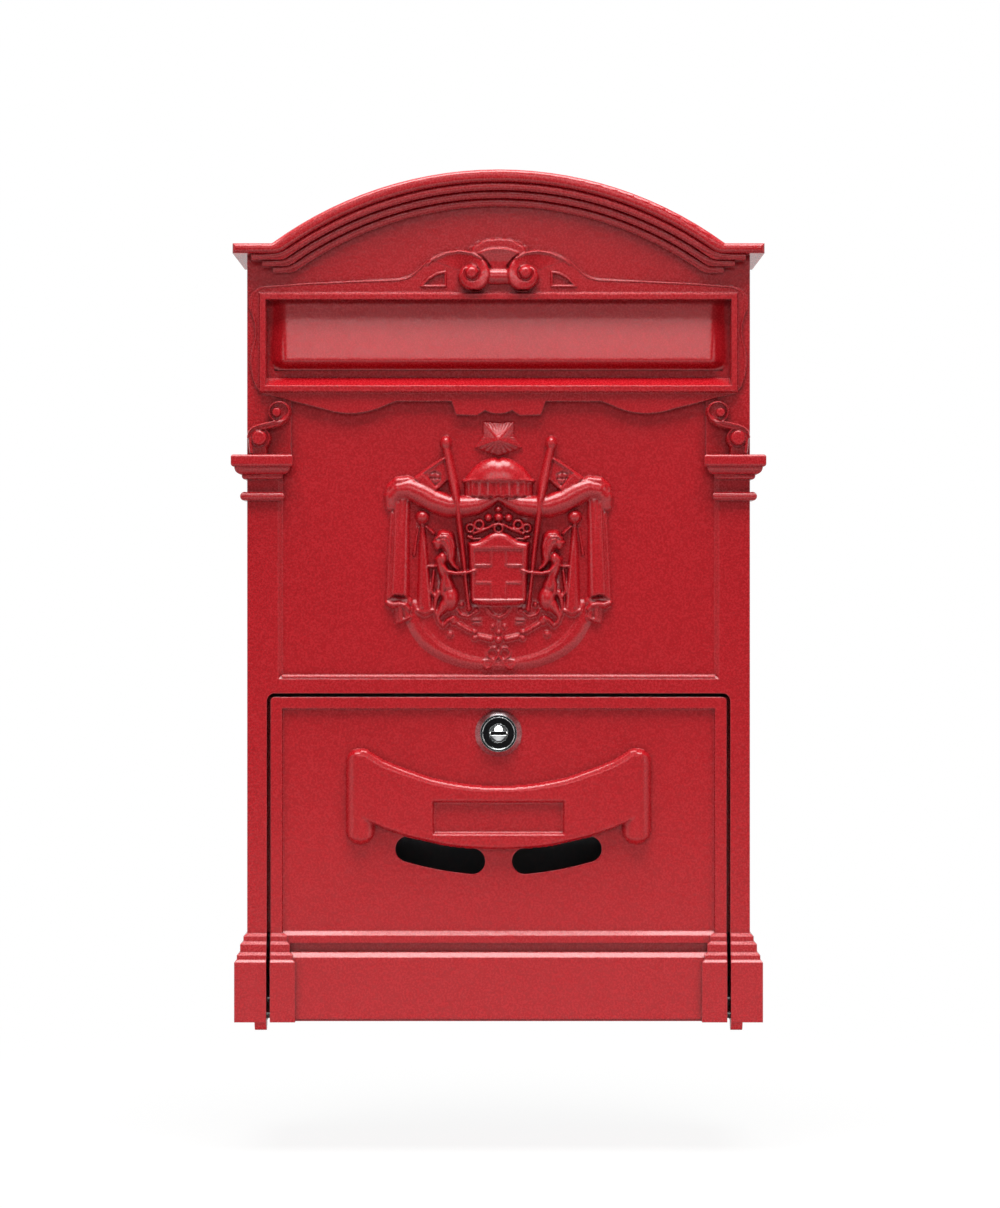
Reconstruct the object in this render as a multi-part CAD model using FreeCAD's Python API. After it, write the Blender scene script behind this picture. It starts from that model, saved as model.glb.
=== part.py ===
import FreeCAD, Part
import math
import os

# Wall letter box in cast aluminium: one casting with an arched cornice, pilasters and a relief, a letter
# flap behind the slot, a lockable drop-down door and a sheet back plate.
# Millimetres. +X is to the right of someone who faces the box, +Y goes into the wall, +Z is up.
# Heights below are counted from the underside of the plinth. At the end every piece is moved so that the
# origin lies on the rear face of the back plate, in the middle of its four wall holes.

V = FreeCAD.Vector

# Walls of the casting
BODY_WIDTH = 242.5
BODY_DEPTH = 78.0
SIDE_WALL = 3.0
FRONT_WALL = 4.5
ROOF_WALL = 3.3
FLOOR_WALL = 3.0
REAR_RIM = 2.5

# Stack of heights on the front
DOOR_HEIGHT = 156.3
DOOR_GAP = 1.8
CROSS_RAIL = 6.9
FIELD_HEIGHT = 134.1
SILL_BAND = 11.6
SLOT_HEIGHT = 37.1
TYMPANUM = 26.7
ARCH_RISE = 35.5

# Widths on the front
STILE = 9.45
PILASTER = 14.85
SLOT_MARGIN = 9.5

# Cornice: a round bead on top, with stepped bands below it
CORNICE_OVERHANG = 6.55
CORNICE_FLAT = 18.9
BEAD_PROJECTION = 9.5
BEAD_DROP = 6.0
BEAD_END_DROP = 4.8
BEAD_ROUND = 2.2
BAND_COUNT = 3
BAND_DROP = 3.65
BAND_END_DROP = 2.95
BAND_SETBACK = 2.4
BAND_INSET = 5.1
FIRST_BAND_INSET = 2.45
BAND_ELBOW = 8.0

# Recessed field between the pilasters, and the ornamental plate round the slot
FIELD_DEPTH = 2.0
FIELD_BEVEL = 2.1
PLATE_RISE = 1.4
PLATE_MARGIN = 1.2
FRAME_RISE = 3.5
FRAME_BEAD = 2.6
FRAME_LEAN = 0.5
FRAME_DRAFT = 0.7
SILL_SLOPE = 4.4
WINDOW_DEPTH = 0.8

# Keystone scrolls over the slot
KEY_ABOVE_SLOT = 11.2
KEY_SCROLL_R = 7.6
KEY_SCROLL_X = 11.5
KEY_SCROLL_RISE = 6.0
KEY_EYE_R = 3.5
KEY_EYE_SHIFT = 1.4
KEY_EYE_RISE = 1.2
KEY_BAR_R = 3.9
KEY_NECK_RISE = 4.2
FAN_HALF_WIDTH = 13.0
FAN_HEIGHT = 6.0
FAN_ABOVE_SCROLLS = 12.0
FAN_RISE = 2.6
FAN_LOBES = 7
FAN_SCALLOP = 0.12

# Capitals: profile sizes and the scroll that stands on each one
CAPITAL_BELOW_FIELD_TOP = 26.0
CAPITAL_RETURN = 20.0
UPPER_BLOCK = 6.3
SCROLL_R = 5.4
SCROLL_RISE = 4.2
UPPER_EYE_R = 2.5
LOWER_EYE_R = 3.5
SCROLL_EYE_RISE = 0.9
UPPER_SCROLL_INSET = 15.6
UPPER_SCROLL_HEIGHT = 20.2
LOWER_SCROLL_INSET = 5.6
LOWER_SCROLL_HEIGHT = 8.4
SCROLL_FOOT_OUT = 9.6
SCROLL_FOOT_IN = 1.4
SCROLL_FOOT_RISE = 3.4

# Plinth: height of each step and how far it stands out
PLINTH_STEPS = ((41.7, 1.7), (37.9, 3.2), (32.8, 4.7), (29.4, 5.9))
STEP_SLOPE = 0.6

# Door
DOOR_CORNER = 2.0
DOOR_RIM = 5.4
DOOR_RECESS = 2.0
DOOR_WALL = 2.5
DOOR_RETURN = 12.0
DOOR_BLOCK = 6.2
DOOR_FIELD_BOTTOM = 41.3
FASCIA_TOP = 37.6
FASCIA_BOTTOM = 33.3
PLINTH_TOP = 30.9
PLINTH_BOTTOM = 1.4
PLINTH_RISE = 3.5

# Banner on the door, with its name recess and the two viewing slots below it
BANNER_TOP = 112.4
BANNER_BOTTOM = 83.0
BANNER_RISE = 5.5
BANNER_TOP_R = 116.0
BANNER_BOTTOM_R = 145.3
BANNER_EDGE = 1.6
SCROLL_BAR_X = 66.9
SCROLL_BAR_R = 6.8
SCROLL_BAR_BOTTOM = 85.8
SCROLL_BAR_TOP = 131.2
NAME_WIDTH = 64.6
NAME_HEIGHT = 15.9
NAME_BOTTOM = 90.2
NAME_DEPTH = 2.0
VIEW_SLOT_HEIGHT = 12.5
VIEW_SLOT_NEAR = 12.7
VIEW_SLOT_FAR = 43.6
VIEW_SLOT_LAP = 0.3

# Door hinge
HINGE_HEIGHT = 3.0
HINGE_PIN_R = 1.5
HINGE_PIN_LENGTH = 13.0
HINGE_LUG_R = 5.5
HINGE_LUG_DROP = 4.2
HINGE_LUG_THICKNESS = 5.6
RUNNING_CLEARANCE = 0.05
SEAT_GAP = 0.3

# Letter flap on its rod
FLAP_LAP = 3.8
FLAP_SHEET = 2.0
FLAP_FIELD_TOP_RISE = 2.0
FLAP_FIELD_BOTTOM_RISE = 5.4
FLAP_FIELD_MARGIN = 3.2
FLAP_FIELD_BEVEL = 2.2
FLAP_ROD_R = 1.5
FLAP_EYE_R = 2.8
FLAP_LUG_INSET = 6.7
FLAP_AXIS_ABOVE_SLOT = 5.0
FLAP_LUG_R = 3.0
FLAP_LUG_THICKNESS = 3.2
SPRING_SPACE = 4.0
SPRING_WIRE = 0.7
SPRING_TURNS = 2.25
SPRING_LEG = 9.0
CLIP_R = 3.2
CLIP_THICKNESS = 0.8

# Cam lock
LOCK_BELOW_DOOR_TOP = 17.5
LOCK_COLLAR_R = 11.2
LOCK_COLLAR_HEIGHT = 3.4
LOCK_FACE_R = 9.1
LOCK_FACE_DEPTH = 0.7
LOCK_BARREL_R = 9.0
LOCK_BARREL_LENGTH = 16.0
LOCK_HOLE_CLEARANCE = 0.1
PLUG_HEAD_R = 4.7
PLUG_HEAD_HEIGHT = 1.4
PLUG_R = 4.0
KEYWAY_WIDTH = 7.4
KEYWAY_HEIGHT = 1.5
KEYWAY_DEPTH = 11.0
LOCK_NUT_FLATS = 22.5
LOCK_NUT_HEIGHT = 4.0
LOCK_WASHER_R = 12.0
LOCK_WASHER_THICKNESS = 0.8
CAM_LENGTH = 27.0
CAM_WIDTH = 12.0
CAM_HUB_R = 8.0
CAM_THICKNESS = 2.0
CAM_GAP = 0.3
CAM_SQUARE = 5.0
CAM_WASHER_R = 4.6
CAM_SCREW_HEAD_R = 3.6
CAM_SCREW_HEAD = 2.4
CAM_SCREW_R = 2.0
CAM_SCREW_LENGTH = 9.0
STRIKE_WIDTH = 44.0
STRIKE_HEIGHT = 4.0

# Back plate, its screws and the wall holes
BACK_SHEET = 1.2
BACK_CLEARANCE = 0.3
BOSS_R = 4.5
BOSS_LENGTH = 16.0
BOSS_FROM_WALL = 3.8
BOSS_HEIGHTS = (20.0, 186.0, 340.0)
SCREW_R = 1.5
SCREW_LENGTH = 11.0
SCREW_HEAD_R = 3.2
SCREW_HEAD = 2.0
WALL_HOLE_R = 3.25
WALL_HOLES_X = 150.0
WALL_HOLES_Z = 200.0
WALL_HOLES_HEIGHT = 190.0

# Relief in the field: drawn in units from its lowest point, with flat facets
RELIEF_ABOVE_FIELD_BOTTOM = 4.3
RELIEF_UNIT = 1.0
ROLL_FACETS = 4
BEND_STEPS = 6
BALL_SIDES = 10
BALL_LEVELS = (0, 40, 68)
STAR_R = 11.0
STAR_HOLLOW_R = 5.0
STAR_HEIGHT = 111.1
STAR_RISE = 3.4
CAP_R = 16.6
CAP_BASE = 91.0
CAP_HEIGHT = 12.4
CAP_RISE = 5.6
CAP_BAND_DROP = 7.3
CAP_BAND_HEIGHT = 6.5
CAP_BAND_RISE = 4.6
SHIELD_WIDTH = 30.4
SHIELD_BASE = 31.2
SHIELD_HEIGHT = 30.5
SHIELD_RISE = 4.0
PENNANT_RISE = 1.8
BORDER_RISE = 1.6

# Places worked out from the sizes above
HALF_BODY = BODY_WIDTH / 2
HALF_OPENING = HALF_BODY - STILE
HALF_DOOR = HALF_OPENING - DOOR_GAP
HALF_FIELD = HALF_BODY - PILASTER
HALF_SLOT = HALF_BODY - SLOT_MARGIN
HALF_CORNICE = HALF_BODY + CORNICE_OVERHANG
OPENING_TOP = DOOR_HEIGHT + DOOR_GAP
FIELD_BOTTOM = OPENING_TOP + CROSS_RAIL
FIELD_TOP = FIELD_BOTTOM + FIELD_HEIGHT
SILL = FIELD_TOP + SILL_BAND
SLOT_TOP = SILL + SLOT_HEIGHT
CORNICE_END_TOP = SLOT_TOP + TYMPANUM
ARCH_HALF_CHORD = HALF_CORNICE - CORNICE_FLAT
ARCH_R = (ARCH_HALF_CHORD ** 2 + ARCH_RISE ** 2) / (2 * ARCH_RISE)
ARCH_CENTRE = CORNICE_END_TOP + ARCH_RISE - ARCH_R
CAPITAL_TOP = FIELD_TOP - CAPITAL_BELOW_FIELD_TOP
FRONT = -BODY_DEPTH
FIELD_FACE = FRONT + FIELD_DEPTH
INNER_FACE = FRONT + FRONT_WALL
DOOR_FACE = FRONT + DOOR_RECESS
DOOR_INNER_FACE = DOOR_FACE + DOOR_WALL
DOOR_REAR = FRONT + DOOR_RETURN
DOOR_STOP = DOOR_REAR + SEAT_GAP
HINGE_Y = FRONT
FLOOR_FRONT = DOOR_REAR + DOOR_GAP
FLAP_FACE = INNER_FACE + SEAT_GAP
FLAP_AXIS_Y = FLAP_FACE + FLAP_EYE_R + SEAT_GAP
FLAP_AXIS_Z = SLOT_TOP + FLAP_AXIS_ABOVE_SLOT
FLAP_LUG_X = HALF_SLOT - FLAP_LUG_INSET
LOCK_Z = DOOR_HEIGHT - LOCK_BELOW_DOOR_TOP
LOCK_END = DOOR_FACE + LOCK_BARREL_LENGTH
CAM_FRONT = LOCK_END + CAM_GAP
CAM_REAR = CAM_FRONT + CAM_THICKNESS
BOSS_X = HALF_BODY - SIDE_WALL - BOSS_FROM_WALL
RELIEF_BASE = FIELD_BOTTOM + RELIEF_ABOVE_FIELD_BOTTOM
RELIEF_BACK = FIELD_FACE + FIELD_DEPTH / 4
SPARE = 1.0


def in_xz(a, b):
    return V(a, 0, b)


def in_yz(a, b):
    return V(0, a, b)


def path(place, start, *steps):
    """Edges from start; a step is an end point, or a (through, end) pair for an arc."""
    edges = []
    here = start
    for step in steps:
        if isinstance(step[0], tuple):
            through, end = step
            edges.append(Part.Arc(place(*here), place(*through), place(*end)).toShape())
        else:
            end = step
            edges.append(Part.makeLine(place(*here), place(*end)))
        here = end
    return edges, here


def closed(place, start, *steps):
    """Closed wire through the steps and straight back to the start."""
    edges, here = path(place, start, *steps)
    if here != start:
        edges.append(Part.makeLine(place(*here), place(*start)))
    return Part.Wire(edges)


def symmetric(start, *steps):
    """Closed XZ wire from the +X half of an outline that starts and ends on X = 0."""
    half = path(in_xz, start, *steps)[0]
    other = [mirrored(edge) for edge in half]
    return Part.Wire(Part.__sortEdges__(half + other))


def along_y(wire, y_from, y_to):
    face = Part.Face(wire)
    face.translate(V(0, y_from, 0))
    return face.extrude(V(0, y_to - y_from, 0))


def along_x(wire, x_from, x_to):
    face = Part.Face(wire)
    face.translate(V(x_from, 0, 0))
    return face.extrude(V(x_to - x_from, 0, 0))


def block(x_from, x_to, y_from, y_to, z_from, z_to):
    corner = V(min(x_from, x_to), min(y_from, y_to), min(z_from, z_to))
    return Part.makeBox(abs(x_to - x_from), abs(y_to - y_from), abs(z_to - z_from), corner)


def rod_x(radius, x_from, x_to, y, z):
    return Part.makeCylinder(radius, x_to - x_from, V(x_from, y, z), V(1, 0, 0))


def rod_y(radius, x, y_from, y_to, z):
    return Part.makeCylinder(radius, y_to - y_from, V(x, y_from, z), V(0, 1, 0))


def mirrored(shape):
    return shape.mirror(V(0, 0, 0), V(1, 0, 0))


def both(shape):
    return [shape, mirrored(shape)]


def rectangle(x_from, x_to, y, z_from, z_to):
    corners = ((x_from, z_from), (x_to, z_from), (x_to, z_to), (x_from, z_to))
    points = [V(x, y, z) for x, z in corners]
    return Part.makePolygon(points + points[:1])


def tapered(front, rear):
    """Solid between two rectangles, each given as (x_from, x_to, y, z_from, z_to)."""
    return Part.makeLoft([rectangle(*front), rectangle(*rear)], True, True)


def y_edges(shape, keep):
    """Edges that run along Y and whose (x, z) place passes the test."""
    found = []
    for edge in shape.Edges:
        ends = [vertex.Point for vertex in edge.Vertexes]
        straight = len(ends) == 2 and (ends[0] - ends[1]).cross(V(0, 1, 0)).Length < 1e-6
        if straight and keep(ends[0].x, ends[0].z):
            found.append(edge)
    return found


def edges_at_y(shape, y):
    return [edge for edge in shape.Edges
            if all(abs(vertex.Y - y) < 1e-6 for vertex in edge.Vertexes)]


def under_arch(half_width, bottom, drop, end_drop):
    """Outline below a line that runs level from each side, then over the arch."""
    shoulder = CORNICE_END_TOP - end_drop
    radius = ARCH_R - drop
    foot = math.sqrt(radius ** 2 - (shoulder - ARCH_CENTRE) ** 2)
    crown = ((0, ARCH_CENTRE + radius), (-foot, shoulder))
    return closed(in_xz, (-half_width, bottom), (half_width, bottom), (half_width, shoulder),
                  (foot, shoulder), crown, (-half_width, shoulder))


def below_member(drop, end_drop):
    """Space below a cornice member, with a rounded elbow where the ends meet the arch."""
    outline = under_arch(HALF_CORNICE + SPARE, SLOT_TOP, drop, end_drop)
    space = along_y(outline, REAR_RIM + SPARE, FRONT - BEAD_PROJECTION - SPARE)
    shoulder = CORNICE_END_TOP - end_drop
    elbows = y_edges(space, lambda x, z: abs(z - shoulder) < 1e-6 and abs(x) < HALF_BODY)
    return space.makeFillet(BAND_ELBOW, elbows)


def cornice():
    """Roof slab with a round bead in front, and the bands that step back below it."""
    front = FRONT - BEAD_PROJECTION
    slab = along_y(under_arch(HALF_CORNICE, SLOT_TOP, 0, 0), REAR_RIM, front)
    slab = slab.cut(below_member(BEAD_DROP, BEAD_END_DROP))
    members = [slab.makeFillet(BEAD_ROUND, edges_at_y(slab, front))]
    hidden = under_arch(HALF_CORNICE, SLOT_TOP, BEAD_DROP / 2, BEAD_END_DROP / 2)
    for step in range(1, BAND_COUNT + 1):
        end = HALF_BODY - FIRST_BAND_INSET - (step - 1) * BAND_INSET
        band = along_y(hidden, FRONT + SPARE, front + step * BAND_SETBACK)
        band = band.common(block(-end, end, FRONT + SPARE, front, SLOT_TOP, 2 * CORNICE_END_TOP))
        band = band.cut(below_member(BEAD_DROP + step * BAND_DROP, BEAD_END_DROP + step * BAND_END_DROP))
        members.append(band)
    return members


def plate_outline():
    """Ornamental plate round the slot: swept top, waved sides and a lobed lower edge."""
    edge = HALF_BODY - PLATE_MARGIN
    base = FIELD_TOP
    top = SLOT_TOP
    return symmetric(
        (0, top + 23.7), (22.4, top + 23.6), ((31.1, top + 20.9), (35.8, top + 17.2)),
        ((40.5, top + 13.1), (48.2, top + 10.3)), (edge - 6.6, top + 6.5),
        ((edge - 1.2, top + 3.2), (edge - 0.9, top - 6.3)),
        ((edge - 3.0, top - 15.8), (edge - 1.5, base + 26.4)),
        ((edge - 0.7, base + 14.9), (edge - 6.0, base + 3.6)),
        (edge - 13.4, base + 1.9), (83.7, base - 3.9),
        ((69.7, base - 5.9), (58.3, base - 3.6)), ((54.1, base - 1.8), (49.4, base)),
        (22.7, base), (20.4, base - 6.6), (10.2, base - 6.9), (6.5, base - 4.4),
        ((3.4, base - 5.7), (0, base - 6.0)))


def slot_plate():
    """Plate with the raised frame of the slot."""
    plate = along_y(plate_outline(), FIELD_FACE, FRONT - PLATE_RISE)
    outer = HALF_SLOT + FRAME_LEAN + FRAME_BEAD
    low = SILL - SILL_SLOPE - FRAME_BEAD
    high = SLOT_TOP + FRAME_LEAN / 2 + FRAME_BEAD
    draft = FRAME_DRAFT
    frame = tapered((-outer, outer, FRONT - FRAME_RISE, low, high),
                    (-outer - draft, outer + draft, FRONT - PLATE_RISE, low - draft, high + draft))
    return [plate, frame]


def slot_cut():
    """Opening of the slot: steep at the sides and top, with a long slope at the sill."""
    wide = HALF_SLOT + FRAME_LEAN
    return tapered((-wide, wide, FRONT - FRAME_RISE, SILL - SILL_SLOPE, SLOT_TOP + FRAME_LEAN / 2),
                   (-HALF_SLOT, HALF_SLOT, INNER_FACE, SILL, SLOT_TOP))


def scroll(x, z, radius, rise, eye_x, eye_z, eye_radius, eye_rise):
    """Round end of a rolled scroll: a disc with a broken edge and a raised eye."""
    disc = rod_y(radius, x, FRONT - rise, FRONT + SPARE, z)
    disc = disc.makeChamfer(radius / 5, edges_at_y(disc, FRONT - rise))
    eye = rod_y(eye_radius, eye_x, FRONT - rise - eye_rise, FRONT, eye_z)
    eye = eye.makeChamfer(eye_rise / 2, edges_at_y(eye, FRONT - rise - eye_rise))
    return [disc, eye]


def scalloped(base):
    """Outline of the fan: small arcs round half an ellipse."""
    def rim(share, reach):
        angle = math.pi * share
        return FAN_HALF_WIDTH * reach * math.cos(angle), base + FAN_HEIGHT * reach * math.sin(angle)
    lobes = [(rim((lobe + 0.5) / FAN_LOBES, 1 + FAN_SCALLOP), rim((lobe + 1) / FAN_LOBES, 1))
             for lobe in range(FAN_LOBES)]
    return closed(in_xz, rim(0, 1), *lobes)


def keystone():
    """Pair of scrolls with a roll between them, a flared neck above it and a scalloped fan behind."""
    middle = SLOT_TOP + KEY_ABOVE_SLOT
    pieces = []
    for piece in scroll(KEY_SCROLL_X, middle, KEY_SCROLL_R, KEY_SCROLL_RISE, KEY_SCROLL_X + KEY_EYE_SHIFT,
                        middle + KEY_EYE_SHIFT / 2, KEY_EYE_R, KEY_EYE_RISE):
        pieces += both(piece)
    roll_y = FRONT - KEY_SCROLL_RISE + KEY_BAR_R
    pieces.append(rod_x(KEY_BAR_R, -KEY_SCROLL_X, KEY_SCROLL_X, roll_y, middle))
    neck = closed(in_xz, (-3.4, middle), (3.4, middle), (9.0, middle + 11.6),
                  ((0, middle + 13.7), (-9.0, middle + 11.6)))
    pieces.append(along_y(neck, FRONT, FRONT - KEY_NECK_RISE))
    pieces.append(along_y(scalloped(middle + FAN_ABOVE_SCROLLS), FRONT + SPARE, FRONT - FAN_RISE))
    return pieces


def corner_windows():
    """Shallow quarter-round panels sunk in the wings beside the keystone."""
    low = SLOT_TOP + 6.2
    outline = closed(in_xz, (25.3, low), (25.3, low + 8.0), ((32.0, low + 6.0), (37.9, low)))
    return both(along_y(outline, FRONT - PLATE_RISE - SPARE, FRONT - PLATE_RISE + WINDOW_DEPTH))


def section(place, face, outward, back, profile):
    """Outline of a moulding: the profile stands out from a face, and the back is flat."""
    def at(point):
        return face + outward * point[0], point[1]
    steps = [(at(step[0]), at(step[1])) if isinstance(step[0], tuple) else at(step) for step in profile]
    last = profile[-1][1] if isinstance(profile[-1][0], tuple) else profile[-1]
    return closed(place, (back, profile[0][1]), *steps, (back, last[1]))


def moulding(profile, x_low, x_high, y_back, turns_low, turns_high):
    """Profile of (projection, height) steps across the front, mitred where it turns a corner."""
    reach = BODY_WIDTH
    solid = along_x(section(in_yz, FRONT, -1, y_back, profile), x_low - reach, x_high + reach)
    y_far = FRONT - reach
    if turns_high:
        solid = solid.common(along_y(section(in_xz, x_high, 1, x_low - reach, profile), y_back, y_far))
    else:
        solid = solid.common(block(x_low - reach, x_high, y_back, y_far, -reach, 2 * CORNICE_END_TOP))
    if turns_low:
        solid = solid.common(along_y(section(in_xz, x_low, -1, x_high + reach, profile), y_back, y_far))
    else:
        solid = solid.common(block(x_low, x_high + reach, y_back, y_far, -reach, 2 * CORNICE_END_TOP))
    return solid


def capital():
    """Capital of the right pilaster: astragal, neck, fillet, ovolo and abacus, turned round both sides."""
    top = CAPITAL_TOP
    profile = ((0, top - 21.9), ((3.2, top - 20.0), (0, top - 18.1)), (0, top - 11.8), (1.0, top - 11.8),
               ((2.0, top - 11.4), (2.4, top - 10.4)), (2.4, top - 9.5), ((5.0, top - 8.3), (5.8, top - 5.8)),
               (6.0, top - 5.8), ((7.0, top - 5.4), (7.4, top - 4.4)), (7.4, top - 1.2),
               ((7.05, top - 0.35), (6.2, top)))
    return moulding(profile, HALF_FIELD, HALF_BODY, FRONT + CAPITAL_RETURN, True, True)


def capital_scroll():
    """S-scroll that stands on the right capital: two rolled ends joined by a swept stem."""
    top = CAPITAL_TOP
    edge = HALF_BODY
    high = top + UPPER_SCROLL_HEIGHT
    low = top + LOWER_SCROLL_HEIGHT
    pieces = scroll(edge - UPPER_SCROLL_INSET, high, SCROLL_R, SCROLL_RISE,
                    edge - UPPER_SCROLL_INSET + 1.2, high, UPPER_EYE_R, SCROLL_EYE_RISE)
    pieces += scroll(edge - LOWER_SCROLL_INSET, low, SCROLL_R, SCROLL_RISE,
                     edge - LOWER_SCROLL_INSET, low, LOWER_EYE_R, SCROLL_EYE_RISE)
    stem = closed(in_xz, (edge - 17.2, top + 16.9), ((edge - 13.6, top + 13.6), (edge - 7.0, top + 11.2)),
                  (edge - 1.4, top + 11.6), ((edge - 5.0, top + 14.4), (edge - 13.9, top + 16.8)))
    pieces.append(along_y(stem, FRONT + SPARE, FRONT - SCROLL_RISE))
    pieces.append(block(edge - SCROLL_FOOT_OUT, edge - SCROLL_FOOT_IN,
                        FRONT + SPARE, FRONT - SCROLL_FOOT_RISE, top - SPARE, low))
    return pieces


def plinth_profile():
    """Stepped plinth with a small slope on top of each step."""
    profile = [(0, PLINTH_STEPS[0][0] + STEP_SLOPE)]
    for index, (height, out) in enumerate(PLINTH_STEPS):
        below = PLINTH_STEPS[index + 1][0] + STEP_SLOPE if index + 1 < len(PLINTH_STEPS) else 0
        profile += [(out, height - STEP_SLOPE), (out, below)]
    return tuple(profile)


def plinth_end():
    return moulding(plinth_profile(), HALF_OPENING, HALF_BODY, REAR_RIM, False, True)


def hinge_lug():
    """Right hinge lug: it hangs below the plinth end and takes the hinge pin."""
    centre = HINGE_LUG_R - HINGE_LUG_DROP
    outline = closed(in_yz, (HINGE_Y - HINGE_LUG_R, centre + HINGE_LUG_R),
                     (HINGE_Y - HINGE_LUG_R, centre),
                     ((HINGE_Y, centre - HINGE_LUG_R), (HINGE_Y + HINGE_LUG_R, centre)),
                     (HINGE_Y + HINGE_LUG_R, centre + HINGE_LUG_R))
    return along_x(outline, HALF_OPENING, HALF_OPENING + HINGE_LUG_THICKNESS)


def flap_lug():
    """Right lug inside the front wall that holds the flap's rod."""
    low = FLAP_AXIS_Z - FLAP_LUG_R
    high = FLAP_AXIS_Z + FLAP_LUG_R
    nose = ((FLAP_AXIS_Y + FLAP_LUG_R, FLAP_AXIS_Z), (FLAP_AXIS_Y, high))
    outline = closed(in_yz, (INNER_FACE - SPARE, low), (FLAP_AXIS_Y, low), nose, (INNER_FACE - SPARE, high))
    return along_x(outline, FLAP_LUG_X, FLAP_LUG_X + FLAP_LUG_THICKNESS)


def inner_ribs():
    """Strike behind the cross rail for the lock's cam, and the stop that each side of the door meets."""
    strike = block(-STRIKE_WIDTH / 2, STRIKE_WIDTH / 2, INNER_FACE - SPARE, CAM_FRONT - CAM_THICKNESS,
                   OPENING_TOP, OPENING_TOP + STRIKE_HEIGHT)
    stop = block(HALF_DOOR - DOOR_WALL, HALF_BODY - SIDE_WALL / 2, DOOR_STOP, DOOR_STOP + DOOR_WALL,
                 PLINTH_STEPS[0][0], DOOR_HEIGHT)
    return [strike] + both(stop)


def boss_places():
    return [(side * BOSS_X, height) for side in (-1, 1) for height in BOSS_HEIGHTS]


def wall_hole_places():
    return [(side * WALL_HOLES_X / 2, WALL_HOLES_HEIGHT + level * WALL_HOLES_Z / 2)
            for side in (-1, 1) for level in (-1, 1)]


def field_cut():
    """Recess between the pilasters, with a bevel at its sides and bottom."""
    top = FIELD_TOP + FRAME_BEAD
    deep = HALF_FIELD - FIELD_BEVEL
    return tapered((-HALF_FIELD, HALF_FIELD, FRONT, FIELD_BOTTOM, top),
                   (-deep, deep, FIELD_FACE, FIELD_BOTTOM + FIELD_BEVEL, top))


def door_opening():
    opening = block(-HALF_OPENING, HALF_OPENING, FRONT - BEAD_PROJECTION, FLOOR_FRONT, -SPARE, OPENING_TOP)
    return opening.makeFillet(DOOR_CORNER + DOOR_GAP, y_edges(opening, lambda x, z: z > 0))


def body_shell():
    """The main casting."""
    outer = along_y(under_arch(HALF_BODY, 0, BEAD_DROP / 2, BEAD_END_DROP / 2), REAR_RIM, FRONT)
    shell = outer.multiFuse(cornice() + both(capital()) + both(plinth_end()))
    cavity = along_y(under_arch(HALF_BODY - SIDE_WALL, FLOOR_WALL, ROOF_WALL, ROOF_WALL),
                     REAR_RIM + SPARE, INNER_FACE)
    shell = shell.cut(cavity).cut(door_opening()).cut(field_cut())
    upper_block = block(HALF_FIELD - UPPER_BLOCK, HALF_FIELD + SPARE, FIELD_FACE + SPARE, FRONT,
                        CAPITAL_TOP - SPARE, FIELD_TOP + FRAME_BEAD)
    added = slot_plate() + keystone() + inner_ribs()
    added += both(upper_block) + both(hinge_lug()) + both(flap_lug())
    for piece in capital_scroll():
        added += both(piece)
    added += [rod_y(BOSS_R, x, -BACK_SHEET - BOSS_LENGTH, -BACK_SHEET, z) for x, z in boss_places()]
    added.append(relief())
    shell = shell.multiFuse(added)
    bores = [rod_y(SCREW_R, x, -SCREW_LENGTH - SPARE, REAR_RIM, z) for x, z in boss_places()]
    bores += both(rod_x(HINGE_PIN_R, HALF_OPENING - SPARE, HALF_OPENING + HINGE_LUG_THICKNESS,
                        HINGE_Y, HINGE_HEIGHT))
    bores.append(rod_x(FLAP_ROD_R, -HALF_SLOT, HALF_SLOT, FLAP_AXIS_Y, FLAP_AXIS_Z))
    for cutter in [slot_cut()] + corner_windows() + bores:
        shell = shell.cut(cutter)
    return shell.removeSplitter()


def drawn(x, z):
    """Place in XZ of a point of the relief's drawing."""
    return RELIEF_UNIT * x, RELIEF_BASE + RELIEF_UNIT * z


def faceted(rings):
    """Solid with flat faces through rings that have equally many corners."""
    outlines = [rings[0], rings[-1]]
    for low, high in zip(rings, rings[1:]):
        for here in range(len(low)):
            after = (here + 1) % len(low)
            outlines.append([low[here], low[after], high[after], high[here]])
    faces = [Part.Face(Part.makePolygon(outline + outline[:1])) for outline in outlines]
    return Part.makeSolid(Part.makeShell(faces))


def roll_section(x, z, side, radius, lift):
    """Section of a roll: facets over the top and straight sides down into the field."""
    over = [math.pi * step / ROLL_FACETS for step in range(ROLL_FACETS + 1)]
    section_points = [(radius * math.cos(angle), lift + radius * math.sin(angle)) for angle in over]
    corners = [V(x, FIELD_FACE - rise, z) + side * across for across, rise in section_points]
    base = [V(x, RELIEF_BACK, z) - side * radius, V(x, RELIEF_BACK, z) + side * radius]
    return corners + base


def limb(x_from, z_from, r_from, x_to, z_to, r_to, lift):
    """Tapered roll between two points of the relief."""
    start = drawn(x_from, z_from)
    end = drawn(x_to, z_to)
    side = V(end[1] - start[1], 0, start[0] - end[0]).normalize()
    lift *= RELIEF_UNIT
    return faceted([roll_section(*start, side, RELIEF_UNIT * r_from, lift),
                    roll_section(*end, side, RELIEF_UNIT * r_to, lift)])


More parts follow.
